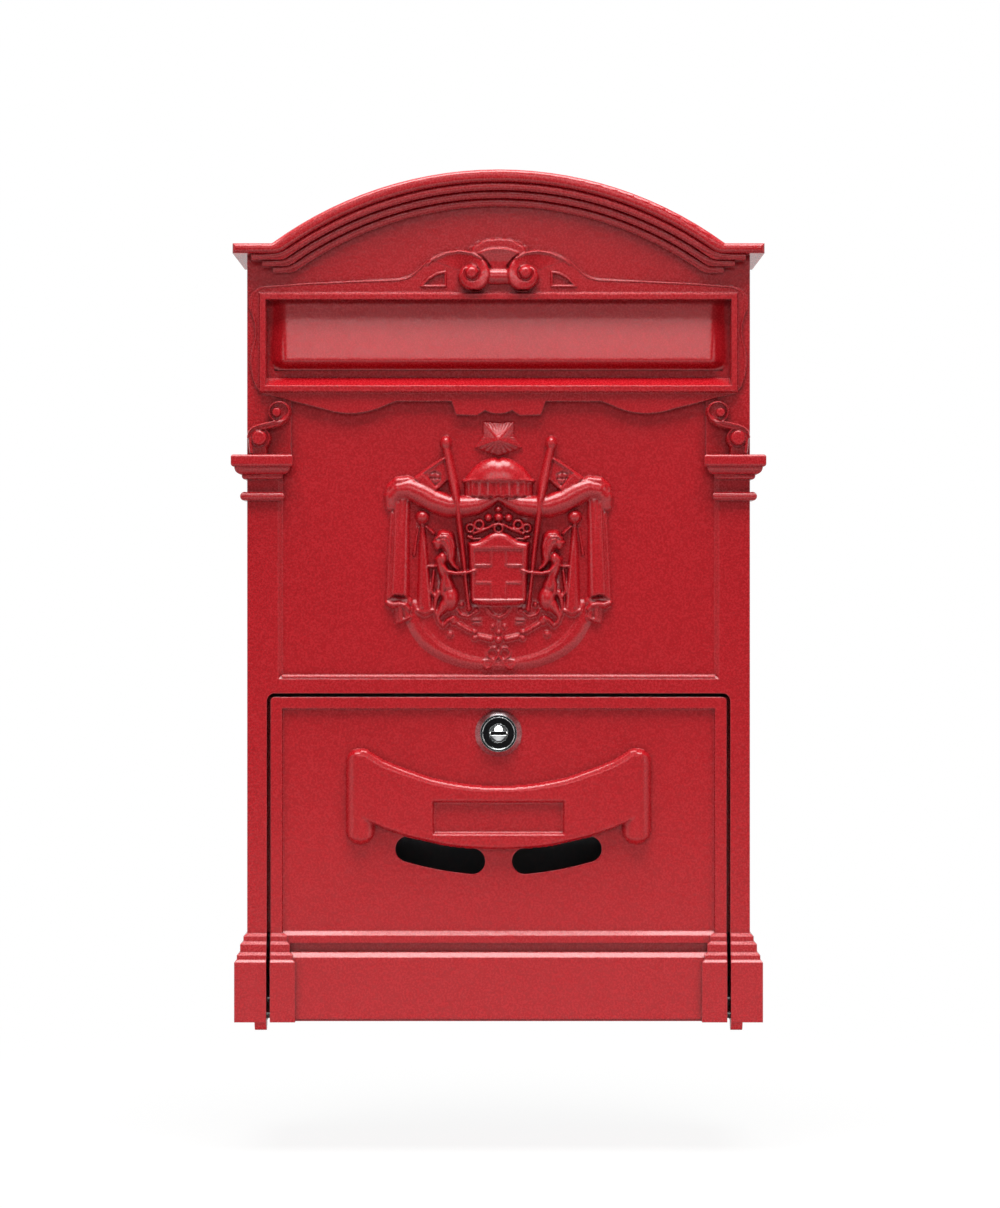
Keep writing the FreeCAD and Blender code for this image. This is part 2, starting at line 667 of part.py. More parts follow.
def ball(x, z, radius, lift):
    """Round knob with flat facets and straight sides down into the field."""
    centre_x, centre_z = drawn(x, z)
    levels = [(radius * RELIEF_UNIT, RELIEF_BACK)]
    for level in BALL_LEVELS:
        angle = math.radians(level)
        levels.append((RELIEF_UNIT * radius * math.cos(angle),
                       FIELD_FACE - RELIEF_UNIT * (lift + radius * math.sin(angle))))
    rings = []
    for reach, y in levels:
        turns = [2 * math.pi * corner / BALL_SIDES for corner in range(BALL_SIDES)]
        rings.append([V(centre_x + reach * math.cos(turn), y, centre_z + reach * math.sin(turn))
                      for turn in turns])
    return faceted(rings)


def bent_roll(start, through, end, radius, lift):
    """Roll of even thickness bent along an arc."""
    ends = [in_xz(*drawn(*point)) for point in (start, through, end)]
    arc = Part.Arc(*ends).toShape()
    centre = arc.Curve.Center
    rings = []
    for step in range(BEND_STEPS + 1):
        share = step / BEND_STEPS
        point = arc.valueAt(arc.FirstParameter + share * (arc.LastParameter - arc.FirstParameter))
        side = (point - centre).normalize()
        rings.append(roll_section(point.x, point.z, side, RELIEF_UNIT * radius, RELIEF_UNIT * lift))
    return faceted(rings)


def star():
    """Five-pointed star with one point down, each arm ridged to the middle."""
    middle = RELIEF_BASE + STAR_HEIGHT
    rim = []
    for corner in range(10):
        radius = STAR_R if corner % 2 == 0 else STAR_HOLLOW_R
        angle = -math.pi / 2 + corner * math.pi / 5
        rim.append(V(radius * math.cos(angle), RELIEF_BACK, middle + radius * math.sin(angle)))
    peak = V(0, FIELD_FACE - STAR_RISE, middle)
    faces = [Part.Face(Part.makePolygon(rim + rim[:1]))]
    for corner in range(10):
        facet = (rim[corner], rim[(corner + 1) % 10], peak, rim[corner])
        faces.append(Part.Face(Part.makePolygon(facet)))
    return Part.makeSolid(Part.makeShell(faces))


def cap():
    """Domed cap over a curved band."""
    base = RELIEF_BASE + CAP_BASE
    low = base - CAP_BAND_DROP
    turns = [math.pi * corner / BALL_SIDES for corner in range(BALL_SIDES + 1)]
    levels = [(1, RELIEF_BACK)]
    for level in BALL_LEVELS:
        angle = math.radians(level)
        levels.append((math.cos(angle), FIELD_FACE - CAP_RISE * math.sin(angle)))
    rings = []
    for share, y in levels:
        rings.append([V(CAP_R * share * math.cos(turn), y, base + CAP_HEIGHT * share * math.sin(turn))
                      for turn in turns])
    left, right = V(-CAP_R, FIELD_FACE, low), V(CAP_R, FIELD_FACE, low)
    front = Part.Arc(left, V(0, FIELD_FACE - CAP_BAND_RISE, low), right).toShape()
    behind = Part.makePolygon([right, V(CAP_R, RELIEF_BACK, low), V(-CAP_R, RELIEF_BACK, low), left])
    band = Part.Face(Part.Wire([front] + behind.Edges))
    return [faceted(rings), band.extrude(V(0, 0, CAP_BAND_HEIGHT))]


def shield():
    """Shield with a bevelled rim, a raised cross and an ogee top, under a coronet."""
    base = RELIEF_BASE + SHIELD_BASE
    top = base + SHIELD_HEIGHT
    half = SHIELD_WIDTH / 2
    front = FIELD_FACE - SHIELD_RISE
    outline = symmetric((0, base - 1.4), (half - 2.4, base), (half, base + 2.4), (half, top),
                        (half / 2, top + 1.2), (0, top + 4.6))
    body = along_y(outline, RELIEF_BACK, front)
    body = body.makeChamfer(SHIELD_RISE / 3, edges_at_y(body, front))
    for x_from, x_to in ((-12.0, -3.8), (3.8, 12.0)):
        for z_from, z_to in ((base + 2.0, base + 10.0), (base + 19.6, base + 27.6)):
            body = body.cut(block(x_from, x_to, front - SPARE, front + SPARE, z_from, z_to))
    crown = bent_roll((-15.0, 64.0), (0, 76.0), (15.0, 64.0), 2.2, 1.5)
    return [body, crown]


def supporter():
    """Right-hand beast that stands beside the shield, with its mane, body, limbs and tail."""
    return [ball(25.8, 62.0, 5.0, 1.2), limb(26.5, 60.0, 3.6, 25.2, 38.0, 4.4, 1.4),
            ball(24.2, 35.5, 5.0, 0.8), limb(24.6, 34.0, 2.6, 24.0, 21.5, 1.9, 1.2),
            limb(25.0, 53.0, 2.1, 12.6, 47.6, 1.5, 2.4), limb(30.6, 33.0, 1.5, 33.0, 51.0, 1.1, 0.8)]


def mantle():
    """Right half of the draped mantle, with its staffs and pennant."""
    pennant = closed(in_xz, drawn(25.0, 102.6), drawn(25.0, 91.9), drawn(33.4, 83.9), drawn(40.6, 91.9))
    return [limb(25.3, 113.0, 2.5, 14.3, 28.6, 1.1, 1.6), ball(25.5, 115.0, 2.7, 1.6),
            along_y(pennant, RELIEF_BACK, FIELD_FACE - PENNANT_RISE),
            bent_roll((46.0, 86.8), (20.5, 75.8), (0, 83.5), 4.2, 1.0), ball(50.0, 86.4, 5.6, 0.3),
            limb(47.6, 84.0, 3.2, 48.2, 33.0, 4.8, 0.3), limb(42.0, 80.0, 2.4, 41.6, 34.0, 3.2, 0.3),
            limb(53.4, 32.0, 3.0, 40.6, 25.0, 2.4, 0.4),
            ball(36.7, 73.9, 3.3, 1.0), limb(36.7, 72.0, 1.4, 35.6, 28.0, 4.4, 0.3)]


def border():
    """Lower border of the mantle, with the chain above it and a knot at the bottom."""
    band = closed(in_xz, drawn(-41.0, 25.0), (drawn(0, 0), drawn(41.0, 25.0)), drawn(36.0, 27.5),
                  (drawn(0, 6.6), drawn(-36.0, 27.5)))
    chain = bent_roll((-21.9, 24.1), (0, 14.3), (21.9, 24.1), 1.5, 0.8)
    return [along_y(band, RELIEF_BACK, FIELD_FACE - BORDER_RISE), chain, ball(0, 6.0, 4.4, 0.4)]


def relief():
    """Coat of arms cast into the field."""
    pieces = cap() + shield() + border()
    for piece in supporter() + mantle():
        pieces += both(piece)
    return star().multiFuse(pieces)


def banner_outline():
    """Banner between its scroll bars: both long edges sag along arcs."""
    def sagging(x, level, radius):
        return level + radius - math.sqrt(radius ** 2 - x ** 2)
    end = SCROLL_BAR_X
    top = [(x, sagging(x, BANNER_TOP, BANNER_TOP_R)) for x in (0, end / 2, end)]
    low = [(x, sagging(x, BANNER_BOTTOM, BANNER_BOTTOM_R)) for x in (end, end / 2, 0)]
    return symmetric(top[0], (top[1], top[2]), low[0], (low[1], low[2]))


def scroll_bar():
    """Right scroll bar of the banner: half round, with bevelled ends."""
    back = DOOR_FACE + SPARE / 2
    crest = DOOR_FACE - BANNER_RISE - SPARE / 2
    left = V(SCROLL_BAR_X - SCROLL_BAR_R, back, SCROLL_BAR_BOTTOM)
    right = V(SCROLL_BAR_X + SCROLL_BAR_R, back, SCROLL_BAR_BOTTOM)
    curve = Part.Arc(left, V(SCROLL_BAR_X, crest, SCROLL_BAR_BOTTOM), right).toShape()
    bar = Part.Face(Part.Wire([curve, Part.makeLine(right, left)]))
    bar = bar.extrude(V(0, 0, SCROLL_BAR_TOP - SCROLL_BAR_BOTTOM))
    ends = [edge for edge in bar.Edges if isinstance(edge.Curve, Part.Circle)]
    return bar.makeChamfer(BANNER_EDGE, ends)


def banner():
    front = DOOR_FACE - BANNER_RISE
    plate = along_y(banner_outline(), DOOR_FACE + SPARE / 2, front)
    long_edges = [edge for edge in edges_at_y(plate, front) if isinstance(edge.Curve, Part.Circle)]
    plate = plate.makeChamfer(BANNER_EDGE, long_edges)
    return [plate] + both(scroll_bar())


def view_slot():
    """Right viewing slot: a band that follows the banner's lower edge, with round ends."""
    centre = BANNER_BOTTOM + BANNER_BOTTOM_R
    inner = BANNER_BOTTOM_R + VIEW_SLOT_LAP
    outer = inner + VIEW_SLOT_HEIGHT
    middle = (inner + outer) / 2
    near = math.asin(VIEW_SLOT_NEAR / middle)
    far = math.asin(VIEW_SLOT_FAR / middle)
    cap_angle = VIEW_SLOT_HEIGHT / 2 / middle

    def at(radius, angle):
        return radius * math.sin(angle), centre - radius * math.cos(angle)
    half_way = (near + far) / 2
    outline = closed(in_xz, at(inner, near), (at(inner, half_way), at(inner, far)),
                     (at(middle, far + cap_angle), at(outer, far)),
                     (at(outer, half_way), at(outer, near)),
                     (at(middle, near - cap_angle), at(inner, near)))
    return along_y(outline, FRONT - BEAD_PROJECTION, DOOR_REAR)


def door_plinth():
    """Middle of the plinth: its face stands forward and slopes back to the fascia."""
    half = HALF_DOOR - DOOR_BLOCK
    face = FRONT - PLINTH_RISE
    outline = closed(in_yz, (FRONT + SPARE, PLINTH_BOTTOM), (face, PLINTH_BOTTOM), (face, PLINTH_TOP),
                     (face + PLINTH_RISE / 2, FASCIA_BOTTOM), (FRONT + SPARE, FASCIA_BOTTOM))
    return along_x(outline, -half, half)


def door():
    """Cast door: a recessed panel with a rim that returns inwards, and the middle of the plinth."""
    solid = block(-HALF_DOOR, HALF_DOOR, FRONT, DOOR_REAR, 0, DOOR_HEIGHT)
    solid = solid.makeFillet(DOOR_CORNER, y_edges(solid, lambda x, z: z > 0))
    inside = HALF_DOOR - DOOR_WALL
    solid = solid.cut(block(-inside, inside, DOOR_INNER_FACE, DOOR_REAR, DOOR_WALL, DOOR_HEIGHT - DOOR_WALL))
    half = HALF_DOOR - DOOR_RIM
    slope = DOOR_RECESS / 4
    panel = tapered((-half, half, FRONT, DOOR_FIELD_BOTTOM, DOOR_HEIGHT - DOOR_RIM),
                    (-half + slope, half - slope, DOOR_FACE, DOOR_FIELD_BOTTOM + DOOR_RECESS,
                     DOOR_HEIGHT - DOOR_RIM - slope))
    fascia = block(-half, half, FRONT, DOOR_FACE, FASCIA_BOTTOM, FASCIA_TOP)
    solid = solid.cut(panel).cut(fascia)
    base = moulding(plinth_profile(), HALF_DOOR - DOOR_BLOCK, HALF_DOOR, FRONT + SPARE, True, False)
    solid = solid.multiFuse([door_plinth()] + both(base) + banner())
    deep = HALF_DOOR - DOOR_BLOCK - DOOR_WALL
    hollow = block(-deep, deep, FRONT - PLINTH_RISE + DOOR_WALL, DOOR_INNER_FACE,
                   PLINTH_BOTTOM + DOOR_WALL, PLINTH_TOP - DOOR_WALL)
    banner_face = DOOR_FACE - BANNER_RISE
    name = block(-NAME_WIDTH / 2, NAME_WIDTH / 2, banner_face, banner_face + NAME_DEPTH,
                 NAME_BOTTOM, NAME_BOTTOM + NAME_HEIGHT)
    lock_hole = rod_y(LOCK_BARREL_R + LOCK_HOLE_CLEARANCE, 0, FRONT, DOOR_REAR, LOCK_Z)
    pin_reach = HINGE_PIN_LENGTH - HINGE_LUG_THICKNESS - DOOR_GAP
    pin_bore = rod_x(HINGE_PIN_R + RUNNING_CLEARANCE, HALF_DOOR - pin_reach - SPARE, HALF_DOOR + SPARE,
                     HINGE_Y, HINGE_HEIGHT)
    for cutter in [hollow, name, lock_hole] + both(view_slot()) + both(pin_bore):
        solid = solid.cut(cutter)
    return solid.removeSplitter()


def hinge_pin():
    end = HALF_OPENING + HINGE_LUG_THICKNESS
    return rod_x(HINGE_PIN_R, end - HINGE_PIN_LENGTH, end, HINGE_Y, HINGE_HEIGHT)


def tilted(half, y_low, z_low, y_high, z_high):
    """Rectangle across X whose lower and upper edges lie at different depths."""
    low = [V(-half, y_low, z_low), V(half, y_low, z_low)]
    high = [V(half, y_high, z_high), V(-half, y_high, z_high)]
    return Part.makePolygon(low + high + low[:1])


def flap_field(inset, back):
    """Raised field of the flap, leaning forward at its lower edge."""
    half = HALF_SLOT - FLAP_FIELD_MARGIN - inset
    low = SILL + FLAP_FIELD_MARGIN + inset
    high = SLOT_TOP - inset
    bevel = FLAP_FIELD_BEVEL
    rear = tilted(half, back, low, back, high)
    front = tilted(half - bevel, FLAP_FACE - FLAP_FIELD_BOTTOM_RISE + inset, low + bevel,
                   FLAP_FACE - FLAP_FIELD_TOP_RISE + inset, high - bevel)
    return Part.makeLoft([rear, front], True, True)


def letter_flap():
    """Cast flap: a sheet that laps the slot from behind, a hollow raised field and a hinge eye."""
    wide = HALF_SLOT + FLAP_LAP
    rear = FLAP_FACE + FLAP_SHEET
    sheet = block(-wide, wide, FLAP_FACE, rear, SILL - FLAP_LAP, SLOT_TOP + SPARE)
    left = SPRING_SPACE - FLAP_LUG_X
    right = FLAP_LUG_X - SEAT_GAP
    neck = block(left, right, FLAP_FACE, rear, SLOT_TOP, FLAP_AXIS_Z)
    eye = rod_x(FLAP_EYE_R, left, right, FLAP_AXIS_Y, FLAP_AXIS_Z)
    flap = sheet.multiFuse([neck, eye, flap_field(0, FLAP_FACE)])
    flap = flap.cut(flap_field(FLAP_SHEET, rear))
    bore = rod_x(FLAP_ROD_R + RUNNING_CLEARANCE, left, right, FLAP_AXIS_Y, FLAP_AXIS_Z)
    return flap.cut(bore).removeSplitter()


def flap_rod_end():
    """Right end of the flap's rod, past the lug and the clip."""
    return FLAP_LUG_X + FLAP_LUG_THICKNESS + 2 * CLIP_THICKNESS


def flap_rod():
    end = flap_rod_end()
    return rod_x(FLAP_ROD_R, -end, end, FLAP_AXIS_Y, FLAP_AXIS_Z)


def flap_rod_clips():
    start = FLAP_LUG_X + FLAP_LUG_THICKNESS
    clip = rod_x(CLIP_R, start, start + CLIP_THICKNESS, FLAP_AXIS_Y, FLAP_AXIS_Z)
    clip = clip.cut(rod_x(FLAP_ROD_R, start, start + CLIP_THICKNESS, FLAP_AXIS_Y, FLAP_AXIS_Z))
    return Part.makeCompound(both(clip))


def flap_spring():
    """Torsion spring round the left end of the rod: one leg on the front wall, one on the flap's back."""
    coil_r = FLAP_AXIS_Y - INNER_FACE - SPRING_WIRE / 2 - RUNNING_CLEARANCE
    pitch = SPRING_WIRE + RUNNING_CLEARANCE
    half = SPRING_WIRE / 2
    helix = Part.makeHelix(pitch, pitch * SPRING_TURNS, coil_r)
    corners = [V(coil_r - half, 0, -half), V(coil_r + half, 0, -half), V(coil_r + half, 0, half),
               V(coil_r - half, 0, half)]
    coil = Part.Wire(helix).makePipeShell([Part.makePolygon(corners + corners[:1])], True, True)
    first = SPRING_WIRE - FLAP_LUG_X
    turn_axes = FreeCAD.Matrix(0, 0, 1, first, -1, 0, 0, FLAP_AXIS_Y, 0, -1, 0, FLAP_AXIS_Z)
    coil.Placement = FreeCAD.Placement(turn_axes)
    last = first + pitch * SPRING_TURNS
    flap_back = FLAP_FACE + FLAP_SHEET + RUNNING_CLEARANCE
    upper = block(first - half, first + half, FLAP_AXIS_Y - coil_r - half, FLAP_AXIS_Y - coil_r + half,
                  FLAP_AXIS_Z, FLAP_AXIS_Z + SPRING_LEG)
    lower = block(last - half, last + half, flap_back, flap_back + SPRING_WIRE,
                  FLAP_AXIS_Z - coil_r - SPRING_LEG, FLAP_AXIS_Z - coil_r + half)
    return coil.multiFuse([upper, lower])


def turned(*profile):
    """Solid of revolution about the lock's axis from (radius, y) points."""
    points = [V(radius, y, 0) for radius, y in profile]
    solid = Part.Face(Part.makePolygon(points + points[:1])).revolve(V(0, 0, 0), V(0, 1, 0), 360)
    solid.translate(V(0, 0, LOCK_Z))
    return solid


def lock_housing():
    """Collar, dished face and threaded barrel of the lock, bored for the plug."""
    front = DOOR_FACE - LOCK_COLLAR_HEIGHT
    face = front + LOCK_FACE_DEPTH
    seat = face + PLUG_HEAD_HEIGHT
    head_bore = PLUG_HEAD_R + RUNNING_CLEARANCE
    bore = PLUG_R + RUNNING_CLEARANCE
    bevel = (LOCK_COLLAR_R - LOCK_FACE_R) / 2
    return turned((bore, seat), (head_bore, seat), (head_bore, face), (LOCK_FACE_R, face),
                  (LOCK_FACE_R, front), (LOCK_COLLAR_R - bevel, front), (LOCK_COLLAR_R, front + bevel),
                  (LOCK_COLLAR_R, DOOR_FACE), (LOCK_BARREL_R, DOOR_FACE), (LOCK_BARREL_R, LOCK_END),
                  (bore, LOCK_END))


def lock_plug():
    """Turning plug: head with a keyway, round body and a square tang for the cam."""
    face = DOOR_FACE - LOCK_COLLAR_HEIGHT + LOCK_FACE_DEPTH
    seat = face + PLUG_HEAD_HEIGHT - RUNNING_CLEARANCE
    nose = face - LOCK_FACE_DEPTH / 2
    edge = LOCK_FACE_DEPTH / 2
    body = turned((0, nose), (PLUG_HEAD_R - edge, nose), (PLUG_HEAD_R, nose + edge), (PLUG_HEAD_R, seat),
                  (PLUG_R, seat), (PLUG_R, LOCK_END), (0, LOCK_END))
    half = CAM_SQUARE / 2
    tang = block(-half, half, LOCK_END - SPARE, CAM_REAR - RUNNING_CLEARANCE, LOCK_Z - half, LOCK_Z + half)
    keyway = block(-KEYWAY_WIDTH / 2, KEYWAY_WIDTH / 2, nose, nose + KEYWAY_DEPTH,
                   LOCK_Z - KEYWAY_HEIGHT / 2, LOCK_Z + KEYWAY_HEIGHT / 2)
    thread = rod_y(CAM_SCREW_R, 0, cam_screw_tip(), CAM_REAR, LOCK_Z)
    return body.fuse(tang).cut(keyway).cut(thread)


def cam_screw_tip():
    return CAM_REAR + LOCK_WASHER_THICKNESS - CAM_SCREW_LENGTH


def lock_washer():
    front = DOOR_INNER_FACE
    rear = front + LOCK_WASHER_THICKNESS
    bore = LOCK_BARREL_R + LOCK_HOLE_CLEARANCE
    return turned((bore, front), (LOCK_WASHER_R, front), (LOCK_WASHER_R, rear), (bore, rear))


def lock_nut():
    """Hexagon nut that clamps the lock to the door's panel."""
    front = DOOR_INNER_FACE + LOCK_WASHER_THICKNESS
    corner_r = LOCK_NUT_FLATS / math.sqrt(3)
    corners = [(corner_r * math.cos(side * math.pi / 3), LOCK_Z + corner_r * math.sin(side * math.pi / 3))
               for side in range(6)]
    nut = along_y(closed(in_xz, *corners), front, front + LOCK_NUT_HEIGHT)
    return nut.cut(rod_y(LOCK_BARREL_R, 0, front, front + LOCK_NUT_HEIGHT, LOCK_Z))


def lock_cam():
    """Cam with a round tip, on the plug's square; at rest it points to the left, clear of the strike."""
    half = CAM_WIDTH / 2
    arm = closed(in_xz, (0, LOCK_Z - half), (0, LOCK_Z + half), (half - CAM_LENGTH, LOCK_Z + half),
                 ((-CAM_LENGTH, LOCK_Z), (half - CAM_LENGTH, LOCK_Z - half)))
    cam = along_y(arm, CAM_FRONT, CAM_REAR).fuse(rod_y(CAM_HUB_R, 0, CAM_FRONT, CAM_REAR, LOCK_Z))
    hole = CAM_SQUARE / 2 + RUNNING_CLEARANCE
    return cam.cut(block(-hole, hole, CAM_FRONT, CAM_REAR, LOCK_Z - hole, LOCK_Z + hole)).removeSplitter()


def lock_cam_washer():
    rear = CAM_REAR + LOCK_WASHER_THICKNESS
    bore = CAM_SCREW_R + LOCK_HOLE_CLEARANCE
    return turned((bore, CAM_REAR), (CAM_WASHER_R, CAM_REAR), (CAM_WASHER_R, rear), (bore, rear))


def lock_cam_screw():
    seat = CAM_REAR + LOCK_WASHER_THICKNESS
    edge = CAM_SCREW_HEAD / 3
    screw = turned((0, cam_screw_tip()), (CAM_SCREW_R, cam_screw_tip()), (CAM_SCREW_R, seat),
                   (CAM_SCREW_HEAD_R, seat), (CAM_SCREW_HEAD_R, seat + CAM_SCREW_HEAD - edge),
                   (CAM_SCREW_HEAD_R - edge, seat + CAM_SCREW_HEAD), (0, seat + CAM_SCREW_HEAD))
    return screw.cut(driver_slot(0, seat + CAM_SCREW_HEAD, LOCK_Z, CAM_SCREW_HEAD_R))


def driver_slot(x, y, z, head_r):
    """Cross recess in a screw head whose top lies at y."""
    arm = head_r * 0.6
    width = head_r * 0.15
    deep = y - head_r * 0.3
    return block(x - arm, x + arm, deep, y, z - width, z + width).fuse(
        block(x - width, x + width, deep, y, z - arm, z + arm))


def back_plate():
    """Sheet that closes the back inside the casting's rim, with screw holes and four wall holes."""
    gap = BACK_CLEARANCE
    outline = under_arch(HALF_BODY - SIDE_WALL - gap, FLOOR_WALL + gap, ROOF_WALL + gap, ROOF_WALL + gap)
    plate = along_y(outline, -BACK_SHEET, 0)
    for x, z in boss_places():
        plate = plate.cut(rod_y(SCREW_R + gap, x, -BACK_SHEET, 0, z))
    for x, z in wall_hole_places():
        plate = plate.cut(rod_y(WALL_HOLE_R, x, -BACK_SHEET, 0, z))
    return plate


def back_plate_screws():
    screws = []
    for x, z in boss_places():
        head = rod_y(SCREW_HEAD_R, x, 0, SCREW_HEAD, z)
        head = head.makeChamfer(SCREW_HEAD / 2, edges_at_y(head, SCREW_HEAD))
        screw = head.fuse(rod_y(SCREW_R, x, -SCREW_LENGTH, 0, z))
        screws.append(screw.cut(driver_slot(x, SCREW_HEAD, z, SCREW_HEAD_R)).removeSplitter())
    return Part.makeCompound(screws)


PIECES = {
    "body_shell": body_shell(),
    "back_plate": back_plate(),
    "back_plate_screws": back_plate_screws(),
    "letter_flap": letter_flap(),
    "flap_rod": flap_rod(),
    "flap_rod_clips": flap_rod_clips(),
    "flap_spring": flap_spring(),
    "door": door(),
    "door_hinge_pin_right": hinge_pin(),
    "door_hinge_pin_left": mirrored(hinge_pin()),
    "lock_housing": lock_housing(),
    "lock_washer": lock_washer(),
    "lock_nut": lock_nut(),
    "lock_plug": lock_plug(),
    "lock_cam": lock_cam(),
    "lock_cam_washer": lock_cam_washer(),
    "lock_cam_screw": lock_cam_screw(),
}

os.makedirs("parts", exist_ok=True)
for name, shape in PIECES.items():
    shape.translate(V(0, 0, -WALL_HOLES_HEIGHT))
    print(name, "solids", len(shape.Solids), "valid", shape.isValid(), "volume", round(shape.Volume))
    shape.exportStep("parts/" + name + ".step")
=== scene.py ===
# %% [markdown]
# # A wall letter box in red powder coat
# The real box is one aluminium casting with an arched cornice, two pilasters and a coat of arms, a flap
# behind its letter slot, a lockable door and a zinc-plated back plate. The solids come from the CAD model
# and stay where they are. This lesson dresses them: coats, soft edges, and the fine ornament that is too
# small for CAD.

# %% Load the solids
import math
import bpy
import bmesh
import numpy as np
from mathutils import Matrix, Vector


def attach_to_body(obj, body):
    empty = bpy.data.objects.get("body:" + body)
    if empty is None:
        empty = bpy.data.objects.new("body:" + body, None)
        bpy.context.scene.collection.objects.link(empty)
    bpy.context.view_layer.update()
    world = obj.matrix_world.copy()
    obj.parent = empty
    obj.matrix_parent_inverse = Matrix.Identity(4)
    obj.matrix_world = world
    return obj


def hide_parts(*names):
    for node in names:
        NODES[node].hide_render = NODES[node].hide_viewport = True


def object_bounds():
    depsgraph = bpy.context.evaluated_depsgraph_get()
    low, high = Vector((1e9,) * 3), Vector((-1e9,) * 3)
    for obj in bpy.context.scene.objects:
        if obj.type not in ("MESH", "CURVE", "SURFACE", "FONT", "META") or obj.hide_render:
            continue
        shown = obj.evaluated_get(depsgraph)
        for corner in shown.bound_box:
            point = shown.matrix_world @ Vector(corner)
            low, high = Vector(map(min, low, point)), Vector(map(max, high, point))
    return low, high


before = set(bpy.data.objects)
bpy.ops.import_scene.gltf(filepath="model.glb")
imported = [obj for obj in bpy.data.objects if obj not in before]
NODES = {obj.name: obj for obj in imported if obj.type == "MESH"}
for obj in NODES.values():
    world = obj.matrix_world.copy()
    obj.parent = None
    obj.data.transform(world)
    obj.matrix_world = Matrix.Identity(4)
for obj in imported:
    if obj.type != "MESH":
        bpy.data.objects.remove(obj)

CAD_LOW, CAD_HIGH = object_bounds()
MM = 0.001
print("solids:", len(NODES), "box in mm:", [round((b - a) / MM, 1) for a, b in zip(CAD_LOW, CAD_HIGH)])

# %% [markdown]
# ## Places on the casting
# Heights on a letter box are easiest to read from the underside of its plinth, so the drawings below
# count from there. The model's own zero is the middle of the wall holes, 190 mm higher. The front of the
# casting is at y = -78 mm, and the sunk field between the pilasters lies 2 mm deeper.

# %% Sizes shared by the steps below
PLINTH_Z = -190.0
FRONT_Y = -78.0
FIELD_Y = -76.0


def place(x, y, height):
    """Point in metres from millimetres, with the height counted from the plinth's underside."""
    return (x * MM, y * MM, (height + PLINTH_Z) * MM)


print("plinth underside at", place(0, 0, 0))

# %% [markdown]
# ## Colours and nodes
# Colours are written as sRGB hex, the way a paint card gives them. Shaders work in linear light, so one
# function turns each value once. Another small function adds a shader node with its settings and its
# links.

# %% Helpers for colours and shader nodes


def linear(code):
    """Linear colour with alpha from an sRGB hex code."""
    values = [int(code[i:i + 2], 16) / 255 for i in (1, 3, 5)]
    return tuple(v / 12.92 if v <= 0.04045 else ((v + 0.055) / 1.055) ** 2.4 for v in values) + (1.0,)


def add(tree, kind, settings=None, **inputs):
    """Add a node; an input is a value or the socket to link from, and i0, i1 pick inputs by number."""
    node = tree.nodes.new(kind)
    for name, value in (settings or {}).items():
        setattr(node, name, value)
    for name, value in inputs.items():
        key = int(name[1:]) if name[0] == "i" and name[1:].isdigit() else name.replace("_", " ")
        if isinstance(value, bpy.types.NodeSocket):
            tree.links.new(value, node.inputs[key])
        else:
            node.inputs[key].default_value = value
    return node


def new_material(name, **settings):
    """Material with one Principled shader; returns the material, its tree and the shader."""
    material = bpy.data.materials.new(name)
    material.use_nodes = True
    tree = material.node_tree
    tree.nodes.clear()
    shader = add(tree, "ShaderNodeBsdfPrincipled", **settings)
    output = add(tree, "ShaderNodeOutputMaterial", Surface=shader.outputs[0])
    output.is_active_output = True
    return material, tree, shader


print("coat red in linear light:", [round(v, 3) for v in linear("#B2131E")])

# %% [markdown]
# ## Red powder coat
# Polyester powder is sprayed on dry and melts in an oven. It leaves a satin film with orange-peel and
# fine grains. Both are drawn coarser than real, 1.7 and 0.9 mm, so that they show in the render. Edges look
# soft and are painted lighter, partly for the thinner film there and partly as a painted highlight, and
# creases are painted darker as painted shade. A bevel node finds the edges, an occlusion node finds the
# creases, and two noises make the peel.

# %% Powder coat
PEEL_MM = 1.7
GRAIN_MM = 0.9
PEEL_RELIEF_MM = 0.10
GRAIN_RELIEF_MM = 0.08
GRAIN_RANGE = (0.32, 0.68)
CLOUD_MM = 45.0
CLOUD_SHARE = 0.12
GLOSS_SPREAD = 0.07
EDGE_MM = 0.7
# Edge tint: partly a thinner film, partly a painted highlight.
EDGE_HIGHLIGHT_TURN = (0.985, 0.82)
EDGE_HIGHLIGHT_SHARE = 0.3
# Creases: painted shade, found by occlusion.
CREASE_SHADE_MM = 3.5
CREASE_SHADE_OPEN = (0.9, 0.35)
CREASE_SHADE_SHARE = 0.62


